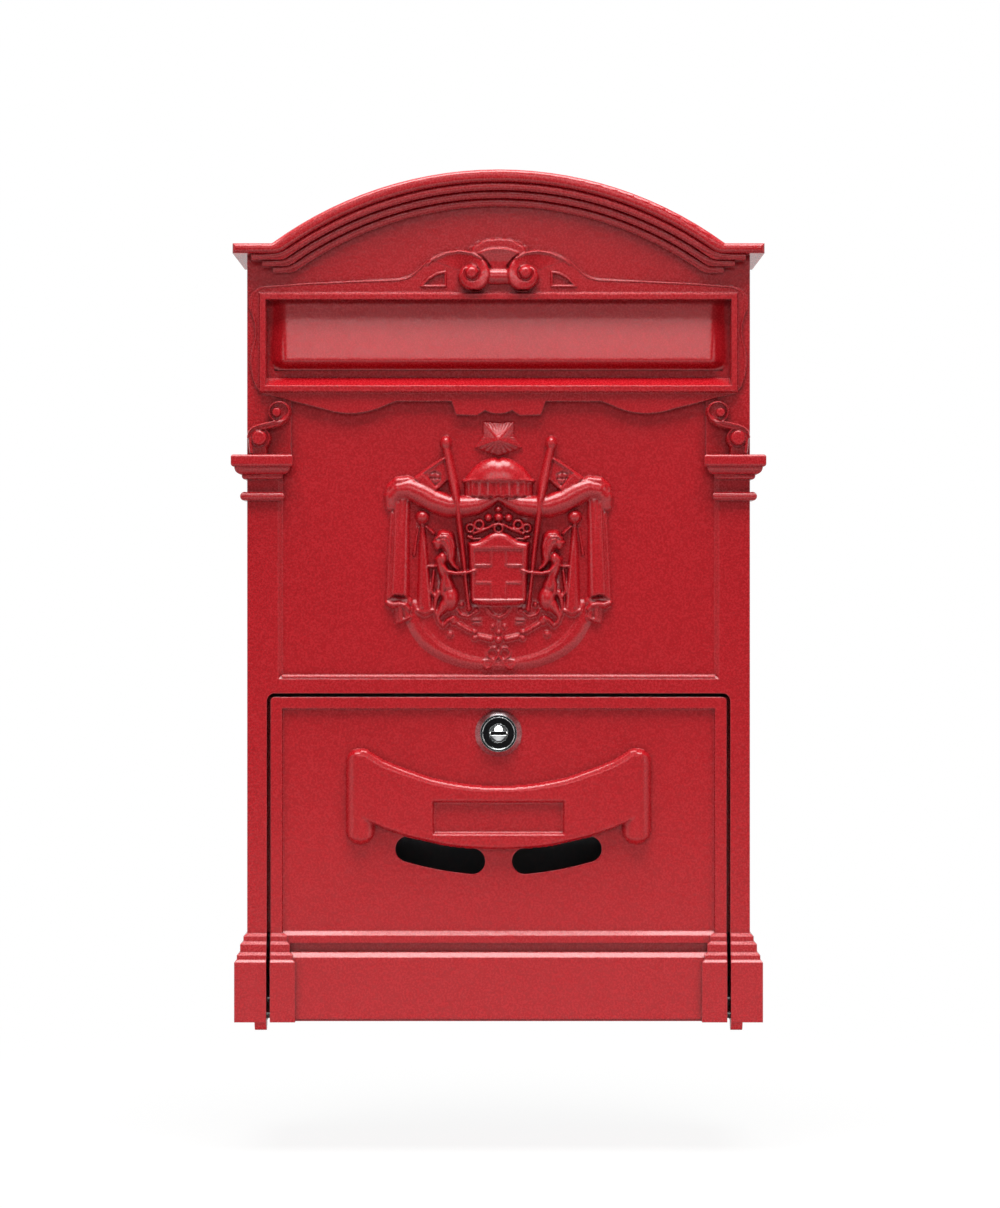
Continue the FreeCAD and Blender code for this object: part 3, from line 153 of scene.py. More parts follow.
def powder_coat(name, deep, bright, edge, crease_shade, rough):
    """Satin powder coat with orange-peel, a faint mottle, edges painted lighter (thin film and painted
    highlight) and painted shade in creases.
    """
    material, tree, shader = new_material(name, IOR=1.5, Specular_IOR_Level=0.55)
    spot = add(tree, "ShaderNodeTexCoord").outputs["Object"]
    peel = add(tree, "ShaderNodeTexNoise", Vector=spot, Scale=1 / (PEEL_MM * MM), Detail=1.0)
    grain = add(tree, "ShaderNodeTexNoise", Vector=spot, Scale=1 / (GRAIN_MM * MM), Detail=2.0)
    cloud = add(tree, "ShaderNodeTexNoise", Vector=spot, Scale=1 / (CLOUD_MM * MM), Detail=2.0)
    soft = add(tree, "ShaderNodeBevel", {"samples": 6}, Radius=EDGE_MM * MM)
    low = add(tree, "ShaderNodeBump", Height=peel.outputs[0], Distance=PEEL_RELIEF_MM * MM, Strength=0.6,
              Normal=soft.outputs[0])
    fine = add(tree, "ShaderNodeBump", Height=grain.outputs[0], Distance=GRAIN_RELIEF_MM * MM, Strength=0.7,
               Normal=low.outputs[0])
    speckle = add(tree, "ShaderNodeMapRange", Value=grain.outputs[0], From_Min=GRAIN_RANGE[0],
                  From_Max=GRAIN_RANGE[1])
    drift = add(tree, "ShaderNodeMapRange", Value=cloud.outputs[0], To_Min=-CLOUD_SHARE, To_Max=CLOUD_SHARE)
    share = add(tree, "ShaderNodeMath", {"operation": "ADD"}, i0=speckle.outputs[0], i1=drift.outputs[0])
    colour = add(tree, "ShaderNodeMix", {"data_type": "RGBA"}, Factor=share.outputs[0])
    colour.inputs["A"].default_value = linear(deep)
    colour.inputs["B"].default_value = linear(bright)
    flat = add(tree, "ShaderNodeNewGeometry").outputs["Normal"]
    # Edges are painted lighter: partly thinner film, partly a painted highlight.
    turn = add(tree, "ShaderNodeVectorMath", {"operation": "DOT_PRODUCT"}, i0=soft.outputs[0], i1=flat)
    edge_light_share = add(tree, "ShaderNodeMapRange", Value=turn.outputs["Value"], From_Min=EDGE_HIGHLIGHT_TURN[0],
               From_Max=EDGE_HIGHLIGHT_TURN[1], To_Max=EDGE_HIGHLIGHT_SHARE)
    film_and_highlight = add(tree, "ShaderNodeMix", {"data_type": "RGBA"}, Factor=edge_light_share.outputs[0],
               A=colour.outputs["Result"])
    film_and_highlight.inputs["B"].default_value = linear(edge)
    # Creases are painted darker where the occlusion node finds them: painted shade.
    near = add(tree, "ShaderNodeAmbientOcclusion", {"samples": 6}, Distance=CREASE_SHADE_MM * MM)
    shade_amount = add(tree, "ShaderNodeMapRange", Value=near.outputs["AO"], From_Min=CREASE_SHADE_OPEN[0],
                From_Max=CREASE_SHADE_OPEN[1], To_Max=CREASE_SHADE_SHARE)
    crease_shaded = add(tree, "ShaderNodeMix", {"data_type": "RGBA"}, Factor=shade_amount.outputs[0],
                 A=film_and_highlight.outputs["Result"])
    crease_shaded.inputs["B"].default_value = linear(crease_shade)
    gloss = add(tree, "ShaderNodeMapRange", Value=grain.outputs[0], To_Min=rough - GLOSS_SPREAD,
                To_Max=rough + GLOSS_SPREAD)
    tree.links.new(crease_shaded.outputs["Result"], shader.inputs["Base Color"])
    tree.links.new(gloss.outputs[0], shader.inputs["Roughness"])
    tree.links.new(fine.outputs[0], shader.inputs["Normal"])
    return material


# The third colour paints edges lighter (thin film and painted highlight); the fourth is painted shade in
# creases.
RED_COAT = powder_coat("red_powder_coat", "#9C0D16", "#B2131E", "#D8555C", "#5E0710", 0.27)
print("coat:", RED_COAT.name, len(RED_COAT.node_tree.nodes), "nodes")

# %% [markdown]
# ## Metals
# The back plate is zinc-plated sheet, dull with a crystalline bloom. The screws and washers are the same
# plating, brighter because they were tumbled. The flap's rod and the hinge pins are drawn steel, with
# fine lines along their length. The lock is chrome over turned zinc, satin on its collar and bright on
# its plug and fine ring. The sheet's bloom has its real size, 6 mm. The true grain of the other metals is
# under a tenth of a millimetre. It is drawn about ten times as coarse, so that it breaks up the gloss
# enough to be seen.

# %% Metal finishes
SURFACE_GLOSS = (0.75, 1.25)


def surface(name, colour, dark, rough, grain_mm, stretch=(1, 1, 1), relief_mm=0.01, metallic=1.0):
    """Finish with a grain of a size in millimetres, drawn out along the axis with the smaller stretch."""
    material, tree, shader = new_material(name, Metallic=metallic)
    spot = add(tree, "ShaderNodeTexCoord").outputs["Object"]
    along = add(tree, "ShaderNodeMapping", Vector=spot, Scale=stretch)
    noise = add(tree, "ShaderNodeTexNoise", Vector=along.outputs[0], Scale=1 / (grain_mm * MM), Detail=3.0)
    tint = add(tree, "ShaderNodeMix", {"data_type": "RGBA"}, Factor=noise.outputs[0])
    tint.inputs["A"].default_value = linear(dark)
    tint.inputs["B"].default_value = linear(colour)
    gloss = add(tree, "ShaderNodeMapRange", Value=noise.outputs[0], To_Min=rough * SURFACE_GLOSS[0],
                To_Max=rough * SURFACE_GLOSS[1])
    bump = add(tree, "ShaderNodeBump", Height=noise.outputs[0], Distance=relief_mm * MM, Strength=0.4)
    tree.links.new(tint.outputs["Result"], shader.inputs["Base Color"])
    tree.links.new(gloss.outputs[0], shader.inputs["Roughness"])
    tree.links.new(bump.outputs[0], shader.inputs["Normal"])
    return material


ZINC_SHEET = surface("zinc_plated_sheet", "#B9BDC0", "#8E9398", 0.42, 6.0, relief_mm=0.02)
ZINC_BRIGHT = surface("zinc_plated_fastener", "#C9CCCB", "#A9ABA6", 0.28, 0.8)
DRAWN_STEEL = surface("drawn_steel_rod", "#6E6C69", "#4C4A48", 0.38, 0.5, stretch=(0.05, 1, 1))
SPRING_STEEL = surface("spring_steel_wire", "#85837F", "#5E5C59", 0.3, 0.4)
CHROME = surface("bright_chrome", "#DADCDD", "#C2C4C6", 0.08, 1.5, relief_mm=0.004)
SATIN_CHROME = surface("satin_chrome", "#D6D8DA", "#BDC0C2", 0.22, 1.5, relief_mm=0.004)
METALS = (ZINC_SHEET, ZINC_BRIGHT, DRAWN_STEEL, SPRING_STEEL, CHROME, SATIN_CHROME)
print("metals:", [metal.name for metal in METALS])

# %% [markdown]
# ## Dress the solids
# Each solid gets the finish of its real material and keeps its mesh. The shell, the door and the lock's
# housing carry forms that are drawn finer further down, so a copy stands for each of them. A small node
# tree joins the copy's loose triangles and shades them smooth up to an angle. In the boxes named here it
# presses the coarse forms down to the face behind them, and the fine ones are laid over that place later.

# %% Finishes of the solids
DOOR_Y = -76.0
PLATE_Y = -79.4
COLLAR_Y = -76.1
PRESSED = {
    "body_shell": ("box", ((0, 58, 167, 290.5, FIELD_Y), (0, 43, 352.2, 381, PLATE_Y),
                           (99.4, 120.9, 273.3, 299.3, FRONT_Y))),
    "door": ("door", ((0, 75.5, 78, 136, DOOR_Y),)),
    "lock_housing": ("door", ((0, 12, 126, 152, COLLAR_Y),)),
}
FINISHES = {
    "body_shell": RED_COAT, "door": RED_COAT, "letter_flap": RED_COAT,
    "back_plate": ZINC_SHEET, "back_plate_screws": ZINC_BRIGHT,
    "flap_rod": DRAWN_STEEL, "flap_rod_clips": ZINC_BRIGHT, "flap_spring": SPRING_STEEL,
    "door_hinge_pin_left": DRAWN_STEEL, "door_hinge_pin_right": DRAWN_STEEL,
    "lock_housing": CHROME, "lock_washer": ZINC_BRIGHT, "lock_nut": ZINC_BRIGHT, "lock_plug": CHROME,
    "lock_cam": ZINC_BRIGHT, "lock_cam_washer": ZINC_BRIGHT, "lock_cam_screw": ZINC_BRIGHT,
}
for node, material in FINISHES.items():
    NODES[node].data.materials.clear()
    NODES[node].data.materials.append(material)
print("finished:", len(FINISHES), "solids")

# %% Helpers for pieces and geometry nodes


def new_tree(name, **inputs):
    """Geometry node tree with named inputs; returns the tree and its input sockets."""
    tree = bpy.data.node_groups.new(name, "GeometryNodeTree")
    tree.interface.new_socket("Geometry", in_out="INPUT", socket_type="NodeSocketGeometry")
    for label, kind in inputs.items():
        tree.interface.new_socket(label.replace("_", " "), in_out="INPUT", socket_type="NodeSocket" + kind)
    tree.interface.new_socket("Geometry", in_out="OUTPUT", socket_type="NodeSocketGeometry")
    return tree, add(tree, "NodeGroupInput").outputs


def attach(piece, tree, **values):
    """Put a node tree on a piece and set its named inputs."""
    modifier = piece.modifiers.new(tree.name, "NODES")
    modifier.node_group = tree
    for item in tree.interface.items_tree:
        label = item.name.replace(" ", "_")
        if item.in_out == "INPUT" and label in values:
            modifier[item.identifier] = values[label]


def settle(piece):
    """Turn the evaluated piece into a plain mesh without modifiers."""
    plan = bpy.context.evaluated_depsgraph_get()
    mesh = bpy.data.meshes.new_from_object(piece.evaluated_get(plan))
    piece.modifiers.clear()
    piece.data = mesh
    return mesh


def new_piece(name, mesh, body, material):
    """Object for a mesh with one finish, riding on a body."""
    piece = bpy.data.objects.new(name, mesh)
    bpy.context.scene.collection.objects.link(piece)
    mesh.materials.clear()
    mesh.materials.append(material)
    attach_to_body(piece, body)
    return piece


print("node trees so far:", len(bpy.data.node_groups))

# %% Press and dress the copies
SHARP = math.radians(32.0)
JOIN_MM = 0.002
SKIN_MM = 0.01
OVERLAP_MM = 1.0


def finish_tree(name, boxes):
    """Join loose triangles, press the named boxes flat and mark edges over an angle as sharp."""
    tree, given = new_tree(name, Sharp_Angle="Float", Coat="Material")
    joined = add(tree, "GeometryNodeMergeByDistance", Geometry=given["Geometry"], Distance=JOIN_MM * MM)
    shape = joined.outputs[0]
    for near, far, low, high, face in boxes:
        position = add(tree, "GeometryNodeInputPosition").outputs[0]
        spot = add(tree, "ShaderNodeSeparateXYZ", Vector=position).outputs
        across = add(tree, "ShaderNodeMath", {"operation": "ABSOLUTE"}, i0=spot["X"]).outputs[0]
        chosen = True
        for value, test, limit in ((spot["Y"], "LESS_THAN", face - SKIN_MM),
                                   (across, "GREATER_THAN", near - OVERLAP_MM), (across, "LESS_THAN", far),
                                   (spot["Z"], "GREATER_THAN", low + PLINTH_Z),
                                   (spot["Z"], "LESS_THAN", high + PLINTH_Z)):
            within = add(tree, "FunctionNodeCompare", {"operation": test}, A=value, B=limit * MM).outputs[0]
            both = add(tree, "FunctionNodeBooleanMath", {"operation": "AND"}, i0=chosen, i1=within)
            chosen = both.outputs[0]
        level = add(tree, "ShaderNodeCombineXYZ", X=spot["X"], Y=face * MM, Z=spot["Z"])
        shape = add(tree, "GeometryNodeSetPosition", Geometry=shape, Selection=chosen,
                    Position=level.outputs[0]).outputs[0]
    bend = add(tree, "GeometryNodeInputMeshEdgeAngle").outputs["Unsigned Angle"]
    sharp = add(tree, "FunctionNodeCompare", {"operation": "GREATER_THAN"}, A=bend, B=given["Sharp Angle"])
    rounded = add(tree, "GeometryNodeSetShadeSmooth", {"domain": "FACE"}, i0=shape, Shade_Smooth=True)
    edged = add(tree, "GeometryNodeSetShadeSmooth", {"domain": "EDGE"}, i0=rounded.outputs[0],
                Selection=sharp.outputs[0], Shade_Smooth=False)
    solid = add(tree, "GeometryNodeRealizeInstances", Geometry=edged.outputs[0])
    coated = add(tree, "GeometryNodeSetMaterial", Geometry=solid.outputs[0], Material=given["Coat"])
    add(tree, "NodeGroupOutput", Geometry=coated.outputs[0])
    return tree


for node, (body, boxes) in PRESSED.items():
    copy = bpy.data.objects.new("finished_" + node, NODES[node].data.copy())
    bpy.context.scene.collection.objects.link(copy)
    attach(copy, finish_tree("press_" + node, boxes), Sharp_Angle=SHARP, Coat=FINISHES[node])
    settle(copy)
    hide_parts(node)
    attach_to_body(copy, body)
print("copies stand for", list(PRESSED))

# %% [markdown]
# ## A board for reliefs
# A carver works a relief on a flat board, and this class does the same with numbers. It holds one height
# for each point of a grid. A stroke gives heights of its own, and laying it on keeps the higher of the
# two, as clay does. At the end the grid becomes quads that face the viewer. Flat quads are left out, and
# the border dips just under the face so that no gap shows. Ornament on this box is symmetric, so only the
# left half is drawn.

# %% Height map
FLAT = 0.02
WELD_MM = 0.001


def crown(share):
    """Round section: 1 in the middle, 0 at the edge and beyond it."""
    return np.sqrt(np.clip(1 - np.square(share), 0, 1))


class Board:
    """Height map on an upright face: x, height above the plinth and rise in millimetres."""

    def __init__(self, x_from, x_to, z_from, z_to, step):
        self.xs = x_to - np.arange(round((x_to - x_from) / step), -1, -1) * step
        self.zs = np.arange(z_from, z_to, step)
        self.x, self.z = np.meshgrid(self.xs, self.zs, indexing="ij")
        self.height = np.zeros_like(self.x)

    def near(self, ax, az, bx, bz):
        """Distance of each point to a segment, and how far along the segment its foot lies."""
        dx, dz = bx - ax, bz - az
        along = np.clip(((self.x - ax) * dx + (self.z - az) * dz) / (dx * dx + dz * dz), 0, 1)
        return np.hypot(self.x - ax - along * dx, self.z - az - along * dz), along

    def line(self, points):
        """Distance of each point to a line through points."""
        return np.min([self.near(*a, *b)[0] for a, b in zip(points, points[1:])], axis=0)

    def roll(self, points):
        """Round roll through points of x, height, radius and rise."""
        height = np.zeros_like(self.x)
        for (ax, az, ar, ah), (bx, bz, br, bh) in zip(points, points[1:]):
            far, along = self.near(ax, az, bx, bz)
            height = np.maximum(height, (ah + along * (bh - ah)) * crown(far / (ar + along * (br - ar))))
        return height

    def thread(self, points, radius, rise):
        """Round roll of one size."""
        return rise * crown(self.line(points) / radius)

    def dome(self, x, z, wide, high, rise):
        """Half of an ellipsoid."""
        return rise * crown(np.hypot((self.x - x) / wide, (self.z - z) / high))

    def ring(self, x, z, radius, half, rise):
        """Half of a torus."""
        return rise * crown((np.hypot(self.x - x, self.z - z) - radius) / half)

    def inside(self, outline):
        """Distance to the edge inside an outline, zero outside; a side past the middle line is no edge."""
        within = np.zeros(self.x.shape, bool)
        ends = [(a, b) for a, b in zip(outline, list(outline[1:]) + [outline[0]]) if tuple(a) != tuple(b)]
        rims = [(a, b) for a, b in ends if min(a[0], b[0]) < 0]
        for (ax, az), (bx, bz) in ends:
            if az != bz:
                passed = self.x < ax + (self.z - az) * (bx - ax) / (bz - az)
                within ^= ((az > self.z) != (bz > self.z)) & passed
        return np.where(within, np.min([self.near(*a, *b)[0] for a, b in rims], axis=0), 0)

    def slab(self, outline, rise, soft):
        """Raised plate with a rounded edge."""
        return rise * crown(1 - np.clip(self.inside(outline) / soft, 0, 1))

    def lay(self, *layers):
        """Keep the highest of the board and the layers."""
        self.height = np.max([self.height, *layers], axis=0)

    def smooth(self):
        """Average each point with its four neighbours, as the coat fills sharp valleys."""
        wide = np.pad(self.height, 1, mode="edge")
        beside = wide[:-2, 1:-1] + wide[2:, 1:-1] + wide[1:-1, :-2] + wide[1:-1, 2:]
        self.height = (beside + 4 * self.height) / 8

    def grid(self, face_y, dip):
        """Points and quads of the raised part and its mirror image, in metres."""
        raised = self.height > FLAT
        depth = face_y - np.where(raised, self.height, -dip)
        points = np.stack([self.x, depth, self.z + PLINTH_Z], axis=-1).reshape(-1, 3) * MM
        index = np.arange(points.shape[0]).reshape(self.x.shape)
        corners = [index[:-1, :-1], index[1:, :-1], index[1:, 1:], index[:-1, 1:]]
        quads = np.stack(corners, axis=-1).reshape(-1, 4)
        quads = quads[raised.reshape(-1)[quads].any(axis=1)]
        used, quads = np.unique(quads, return_inverse=True)
        quads = quads.reshape(-1, 4)
        points = points[used]
        return (np.concatenate([points, points * (-1, 1, 1)]).tolist(),
                np.concatenate([quads, quads[:, ::-1] + len(used)]).tolist())

    def piece(self, name, face_y, dip, body, slot="red_coat", material=RED_COAT):
        """Piece made of the grid."""
        mesh = merged_mesh(name, *self.grid(face_y, dip))
        mesh.shade_smooth()
        print(name + ":", len(mesh.polygons), "quads, rise", self.height.max().round(2), "mm")
        return new_piece(name, mesh, body, material)


def merged_mesh(name, points, faces):
    """Mesh with its double points merged."""
    mesh = bpy.data.meshes.new(name)
    mesh.from_pydata(points, [], faces)
    grid = bmesh.new()
    grid.from_mesh(mesh)
    bmesh.ops.remove_doubles(grid, verts=grid.verts, dist=WELD_MM * MM)
    grid.to_mesh(mesh)
    grid.free()
    return mesh


print("a point of a board counts as raised above", FLAT, "mm")

# %% [markdown]
# ## The coat of arms
# On the real box this relief is cast with the wall: a cap and a star over a mantle with two lances, two
# lions that hold a shield, and a chain below. CAD keeps it in coarse facets. Here it is drawn again in
# full, because cloth and animals are soft shapes. Each stroke is a roll that has its own radius and rise
# at each point.

# %% Strokes of the relief: x, height, radius and rise
ROLLS = {
    "mantle_roll": ((-52.0, 248.6, 2.9, 2.4), (-51.4, 253.0, 3.9, 3.4), (-48.2, 256.2, 4.7, 4.2),
        (-43.3, 256.9, 5.2, 4.7), (-37.9, 254.6, 5.6, 5), (-31.7, 251.0, 5.7, 5.2), (-24.5, 248.6, 5.6, 5.3),
        (-17.4, 248.2, 5.3, 5.3), (-10.7, 249.0, 4.7, 4.9), (-4.9, 251.0, 3.4, 3.9), (-0.3, 252.6, 1.9, 2.4)),
    "cone_drape": ((-36.7, 239.6, 1.1, 1.8), (-36.5, 228.2, 2, 2.4), (-36, 213.9, 2.9, 2.8),
        (-35.5, 198.8, 3.9, 3)),
    "cone_ridge": ((-36.7, 238, 0.6, 2.6), (-36.7, 199.7, 0.8, 3.5)),
    "cone_hem": ((-39.1, 198.1, 1.3, 2.6), (-35.5, 197.2, 1.5, 3), (-31.7, 198.2, 1.3, 2.6)),
    "cord_left": ((-38.6, 238, 0.6, 1.2), (-39.7, 231.8, 0.6, 1.1), (-40.8, 225.1, 0.8, 1.2)),
    "cord_right": ((-35, 238.7, 0.7, 2.6), (-31.2, 235.2, 0.8, 2.8)),
    "pole": ((-25.2, 276.2, 1.9, 3.4), (-23.6, 268.3, 2.2, 4.2), (-21.4, 257.6, 2.4, 5.4),
        (-20.2, 250.9, 2, 6.4), (-19.2, 242.5, 1.5, 6), (-17.9, 231.8, 1.2, 5.4), (-16.8, 222.8, 1.2, 5),
        (-15.6, 210.4, 1, 4.4), (-14.3, 199.2, 0.9, 3.6)),
    "pennant_ridge": ((-26.5, 271.2, 0.8, 3.3), (-33.4, 266.6, 0.9, 3.1), (-40, 261.7, 1, 2.8)),
    "shield_ledge": ((-12, 203, 0.8, 4.6), (0, 203, 0.8, 4.6)),
    "shield_sill": ((-12.2, 228.5, 0.6, 4.5), (0, 228.5, 0.6, 4.7)),
    "shield_side": ((-12.7, 228.2, 0.7, 4.3), (-12.4, 202.8, 0.7, 4.3)),
    "cross_up": ((-3.6, 227.1, 0.6, 4.3), (-3.6, 219.9, 0.6, 4.3)),
    "cross_up_arm": ((-11, 219.9, 0.7, 4.5), (-3.6, 219.9, 0.6, 4.3)),
    "cross_low": ((-3.6, 211.3, 0.6, 4.2), (-3.6, 203.6, 0.6, 4.2)),
    "cross_low_arm": ((-11, 211.5, 0.6, 4.1), (-3.6, 211.5, 0.6, 4.1)),
    "coronet_arch": ((-12, 235.2, 0.8, 2.8), (-8.5, 236.6, 0.9, 3.2), (-4.9, 238, 0.9, 3.5),
        (-2.4, 239.4, 0.8, 3.6), (0, 240, 0.8, 3.6)),
    "coronet_foot": ((-14.7, 233.8, 0.9, 2.4), (-12, 232.5, 0.8, 2.5), (-8.8, 232.8, 0.7, 2.7)),
    "swag_loop": ((-20.1, 198.8, 0.8, 2), (-18.3, 196.1, 0.8, 2.1), (-14.7, 195.2, 0.8, 2.1),
        (-12, 197, 0.7, 2)),
    "garland": ((-5.1, 198.9, 0.8, 2), (-3.1, 196.1, 0.8, 2), (0, 194.8, 0.8, 2)),
    "bar_upper": ((-12.5, 193.6, 0.7, 2), (-8.6, 193.6, 0.7, 2)),
    "bar_lower": ((-12.2, 192, 0.6, 1.8), (-8.6, 192, 0.6, 1.8)),
    "link_outer": ((-19.2, 191.5, 1.2, 2.5), (-13.4, 188.1, 1.2, 2.5)),
    "link_inner": ((-9.2, 185.6, 1.4, 2.7), (-3.6, 184.3, 1.4, 2.7)),
    "pendant": ((-0.4, 192.5, 0.4, 1.6), (-0.4, 189.3, 0.5, 1.8)),
    "hood": ((-53.3, 249.5, 1.7, 1.6), (-53.3, 253.2, 2, 2.2), (-52.1, 257.2, 2.3, 2.8),
        (-48.9, 260.2, 2.3, 3.2), (-43.8, 260.8, 2.2, 3.2), (-39.6, 259.5, 1.7, 2.6)),
    "drape_fold": ((-46.3, 250.7, 3.5, 2.6), (-46.9, 236.6, 4, 3.4), (-47.4, 220, 4.5, 3.9),
        (-48.1, 205.8, 5, 4.2)),
    "drape_light": ((-48.9, 249.9, 1.7, 2.6), (-49.3, 228.3, 2, 3.6), (-50.3, 205.8, 2.3, 4.2)),
    "drape_left": ((-51.3, 244.9, 1.2, 1.7), (-52.3, 224.1, 1.4, 2), (-52.9, 204.2, 1.7, 2.4)),
    "hem_inside": ((-52.6, 203, 2.4, 1.8), (-44, 202.4, 2.4, 1.8)),
    "hem_lip": ((-53.6, 201.8, 1.4, 3), (-51, 200.8, 1.8, 3.5), (-48, 201.2, 1.7, 3.8),
        (-45, 200.6, 1.6, 3.7), (-43.4, 198.8, 1.3, 3)),
    "tail_back": ((-49.2, 199, 1.2, 1.6), (-49, 192.6, 1.1, 1.3)),
    "tail_fold": ((-47.4, 199.4, 1.6, 3), (-47.2, 193.4, 1.6, 2.5)),
    "tail_front": ((-44.6, 199, 1.9, 2.4), (-44.2, 195.2, 1.9, 2.3)),
    "tail_lip": ((-48.8, 192.6, 1, 1.7), (-46, 193.6, 1.1, 2.7), (-42.9, 195, 1, 2.3)),
    "mane": ((-27, 234.6, 2.6, 3.8), (-25.6, 232.4, 4.5, 4.8), (-24, 228.6, 3.6, 4.6),
        (-23.1, 225.4, 2.6, 4.2), (-23, 222.4, 1.9, 3.8), (-21.9, 219.8, 1.3, 3.6), (-19.6, 217.9, 0.9, 3.6)),
    "muzzle": ((-29.6, 230.9, 1.5, 5), (-31.2, 230.9, 1, 4.4)),
    "jaw": ((-29.2, 228.4, 1.3, 4.7), (-30.4, 228.9, 0.8, 4.2)),
    "brow": ((-30.2, 232.6, 0.9, 4.8), (-28.6, 233.6, 1.2, 5)),
    "torso": ((-28.4, 222.6, 2.4, 4.3), (-27.2, 218.8, 2.7, 4.4), (-25.2, 213.6, 2.5, 4.3),
        (-24.4, 209.6, 3.2, 4.4)),
    "belly": ((-26.4, 214.5, 1, 4.5), (-27.2, 209.5, 1.2, 4.4), (-27, 206, 1.2, 4.2)),
    "leg": ((-25.8, 200.8, 3, 4.2), (-28, 197.6, 1.9, 3.4), (-29.4, 195.2, 1.2, 2.8),
        (-28.6, 192.6, 1.2, 2.6), (-26.8, 190.8, 1.3, 2.5)),
    "paw": ((-26.8, 191, 1.1, 2.6), (-24.6, 193.2, 1.1, 3), (-21.9, 194.6, 1.3, 3.2), (-20.7, 193.6, 1, 2.8)),
    "hind_leg": ((-29, 206.7, 1.7, 2.8), (-30.3, 203.3, 1.3, 2.6), (-30.8, 199.2, 1.1, 2.3),
        (-30, 195.4, 1, 2.1)),
    "arm": ((-28.2, 223.1, 2, 4.7), (-27.3, 219.6, 1.7, 4.9), (-24.7, 216.8, 1.3, 5.2),
        (-20.5, 216.1, 1, 5.4), (-14.7, 216.5, 0.9, 5.4), (-11.2, 217.5, 1, 5)),
    "back_paw": ((-33.7, 219.5, 0.8, 2.2), (-31.3, 219.3, 0.8, 2.5), (-29.5, 220, 0.8, 3)),
    "tail": ((-31.1, 217.6, 0.7, 2.3), (-32, 210.8, 0.8, 2.3), (-32.4, 207.4, 0.8, 2.3),
        (-30.5, 204.6, 1, 2.6)),
    "knot_top": ((-5.2, 176.1, 0.6, 1.9), (-5.6, 178.2, 0.6, 1.9), (-4.1, 180, 0.6, 2),
        (-1.7, 180.2, 0.6, 2), (-0.3, 178.4, 0.6, 2), (0, 176.1, 0.6, 2.2)),
    "knot_cross": ((0, 176.1, 0.6, 2.2), (-2.2, 173.1, 0.6, 1.9), (-4.4, 170.4, 0.6, 1.7)),
    "knot_side": ((-5.2, 176.1, 0.6, 1.9), (-2.2, 174, 0.6, 2), (0, 176.1, 0.6, 2.1)),
    "knot_low": ((-6, 170.1, 0.6, 1.6), (-7.7, 171.8, 0.6, 1.7), (-7.1, 173.8, 0.6, 1.8),
        (-4.7, 174.4, 0.6, 1.8), (-2.2, 173.1, 0.6, 1.9)),
    "knot_foot": ((-6, 170.1, 0.6, 1.6), (-3.1, 171.4, 0.6, 1.7), (0, 171.6, 0.6, 1.7)),
}
HEM_X = (-55, -53.6, -50, -46, -43.2, -42)
HEM_Z = (202.8, 203.2, 205.7, 205.4, 203.4, 203)
DOMES = {
    "staff_ball": (-36.7, 243.2, 3.4, 3.4, 4.2),
    "finial": (-25.4, 278.7, 2.8, 3.7, 3.9),
    "face": (-29, 230.6, 2.6, 3.4, 5),
    "shoulder": (-27, 223.2, 2.6, 3.6, 5.2),
    "haunch": (-23.4, 203.9, 4.3, 6.3, 5),
    "pole_foot": (-14.3, 198.8, 1.4, 1.4, 3.4),
    "pearl_top": (-0.1, 246.9, 1.7, 1.7, 3.6),
    "pearl_mid": (-0.1, 243, 2.3, 2.3, 4.3),
    "pearl_side": (-4.9, 242.8, 2.1, 2.1, 4),
    "curl_ball": (-13.3, 233.4, 1.2, 1.2, 2.8),
    "bead_a": (-17.8, 201, 1.3, 1.3, 2.6),
    "bead_b": (-10.7, 198.1, 1.4, 1.4, 2.4),
    "bead_c": (-21.4, 193, 2.1, 2, 2.8),
    "bead_d": (-23.5, 186.7, 2, 1.8, 2.3),
    "bead_e": (-11.6, 187.6, 1.2, 1.2, 2.2),
    "bead_f": (-11.6, 184.9, 1.6, 1.6, 2.5),
    "bead_g": (-2.9, 190.3, 1.2, 1.2, 2.1),
    "bead_h": (-0.1, 187.6, 1.5, 1.5, 2.4),
    "bead_i": (-0.1, 184, 2, 2, 2.9),
}
RINGS = {
    "leaf_ring": (-9.4, 239.4, 2.1, 0.9, 2.9),
    "curl_ring": (-13.7, 237.8, 1.8, 0.8, 2.5),
    "crown_ring": (0, 237.7, 2, 0.8, 3.7),
}
HAIR = (
    ((-28, 234.8), (-24.6, 235.4), (-22, 232.5), (-21.2, 228.6), (-21.8, 225), (-22.2, 221.8),
     (-20.4, 218.6)),
    ((-28.4, 233.6), (-25.2, 233.8), (-23.2, 231.2), (-22.4, 227.8), (-22.8, 224.2), (-22.8, 221.4),
     (-21.4, 219)),
    ((-28.2, 232.2), (-26, 232), (-24.6, 229.6), (-23.6, 226.6), (-24, 223), (-23.4, 220.6)),
    ((-27.6, 230.6), (-26.2, 229.6), (-25, 227.2), (-24.9, 224.4)),
)
ENGRAVED = (
    ((-33.6, 263.9), (-30.8, 265), (-28.1, 263.7), (-28.3, 260.3), (-30.6, 258.4), (-32.5, 260.8),
     (-33.6, 263.9)),
    ((-30.8, 264.8), (-30.5, 258.5)),
    ((-33.3, 262), (-28.2, 261.7)),
)
PENNANT = ((-26.3, 271.7), (-40.6, 261.4), (-33, 252.7), (-24.1, 261))
PENNANT_FOLD = ((-40.6, 261.4), (-36.3, 264.8), (-28.8, 256.9), (-33, 252.7))
PANEL = ((-44.6, 191.7), (-41.7, 185.9), (-37.8, 180.7), (-32.2, 176.4), (-26.3, 173.3), (-19.7, 170.9),
         (-13, 169.6), (-6.4, 169.1), (1, 169), (1, 203.3), (-43, 203.3))
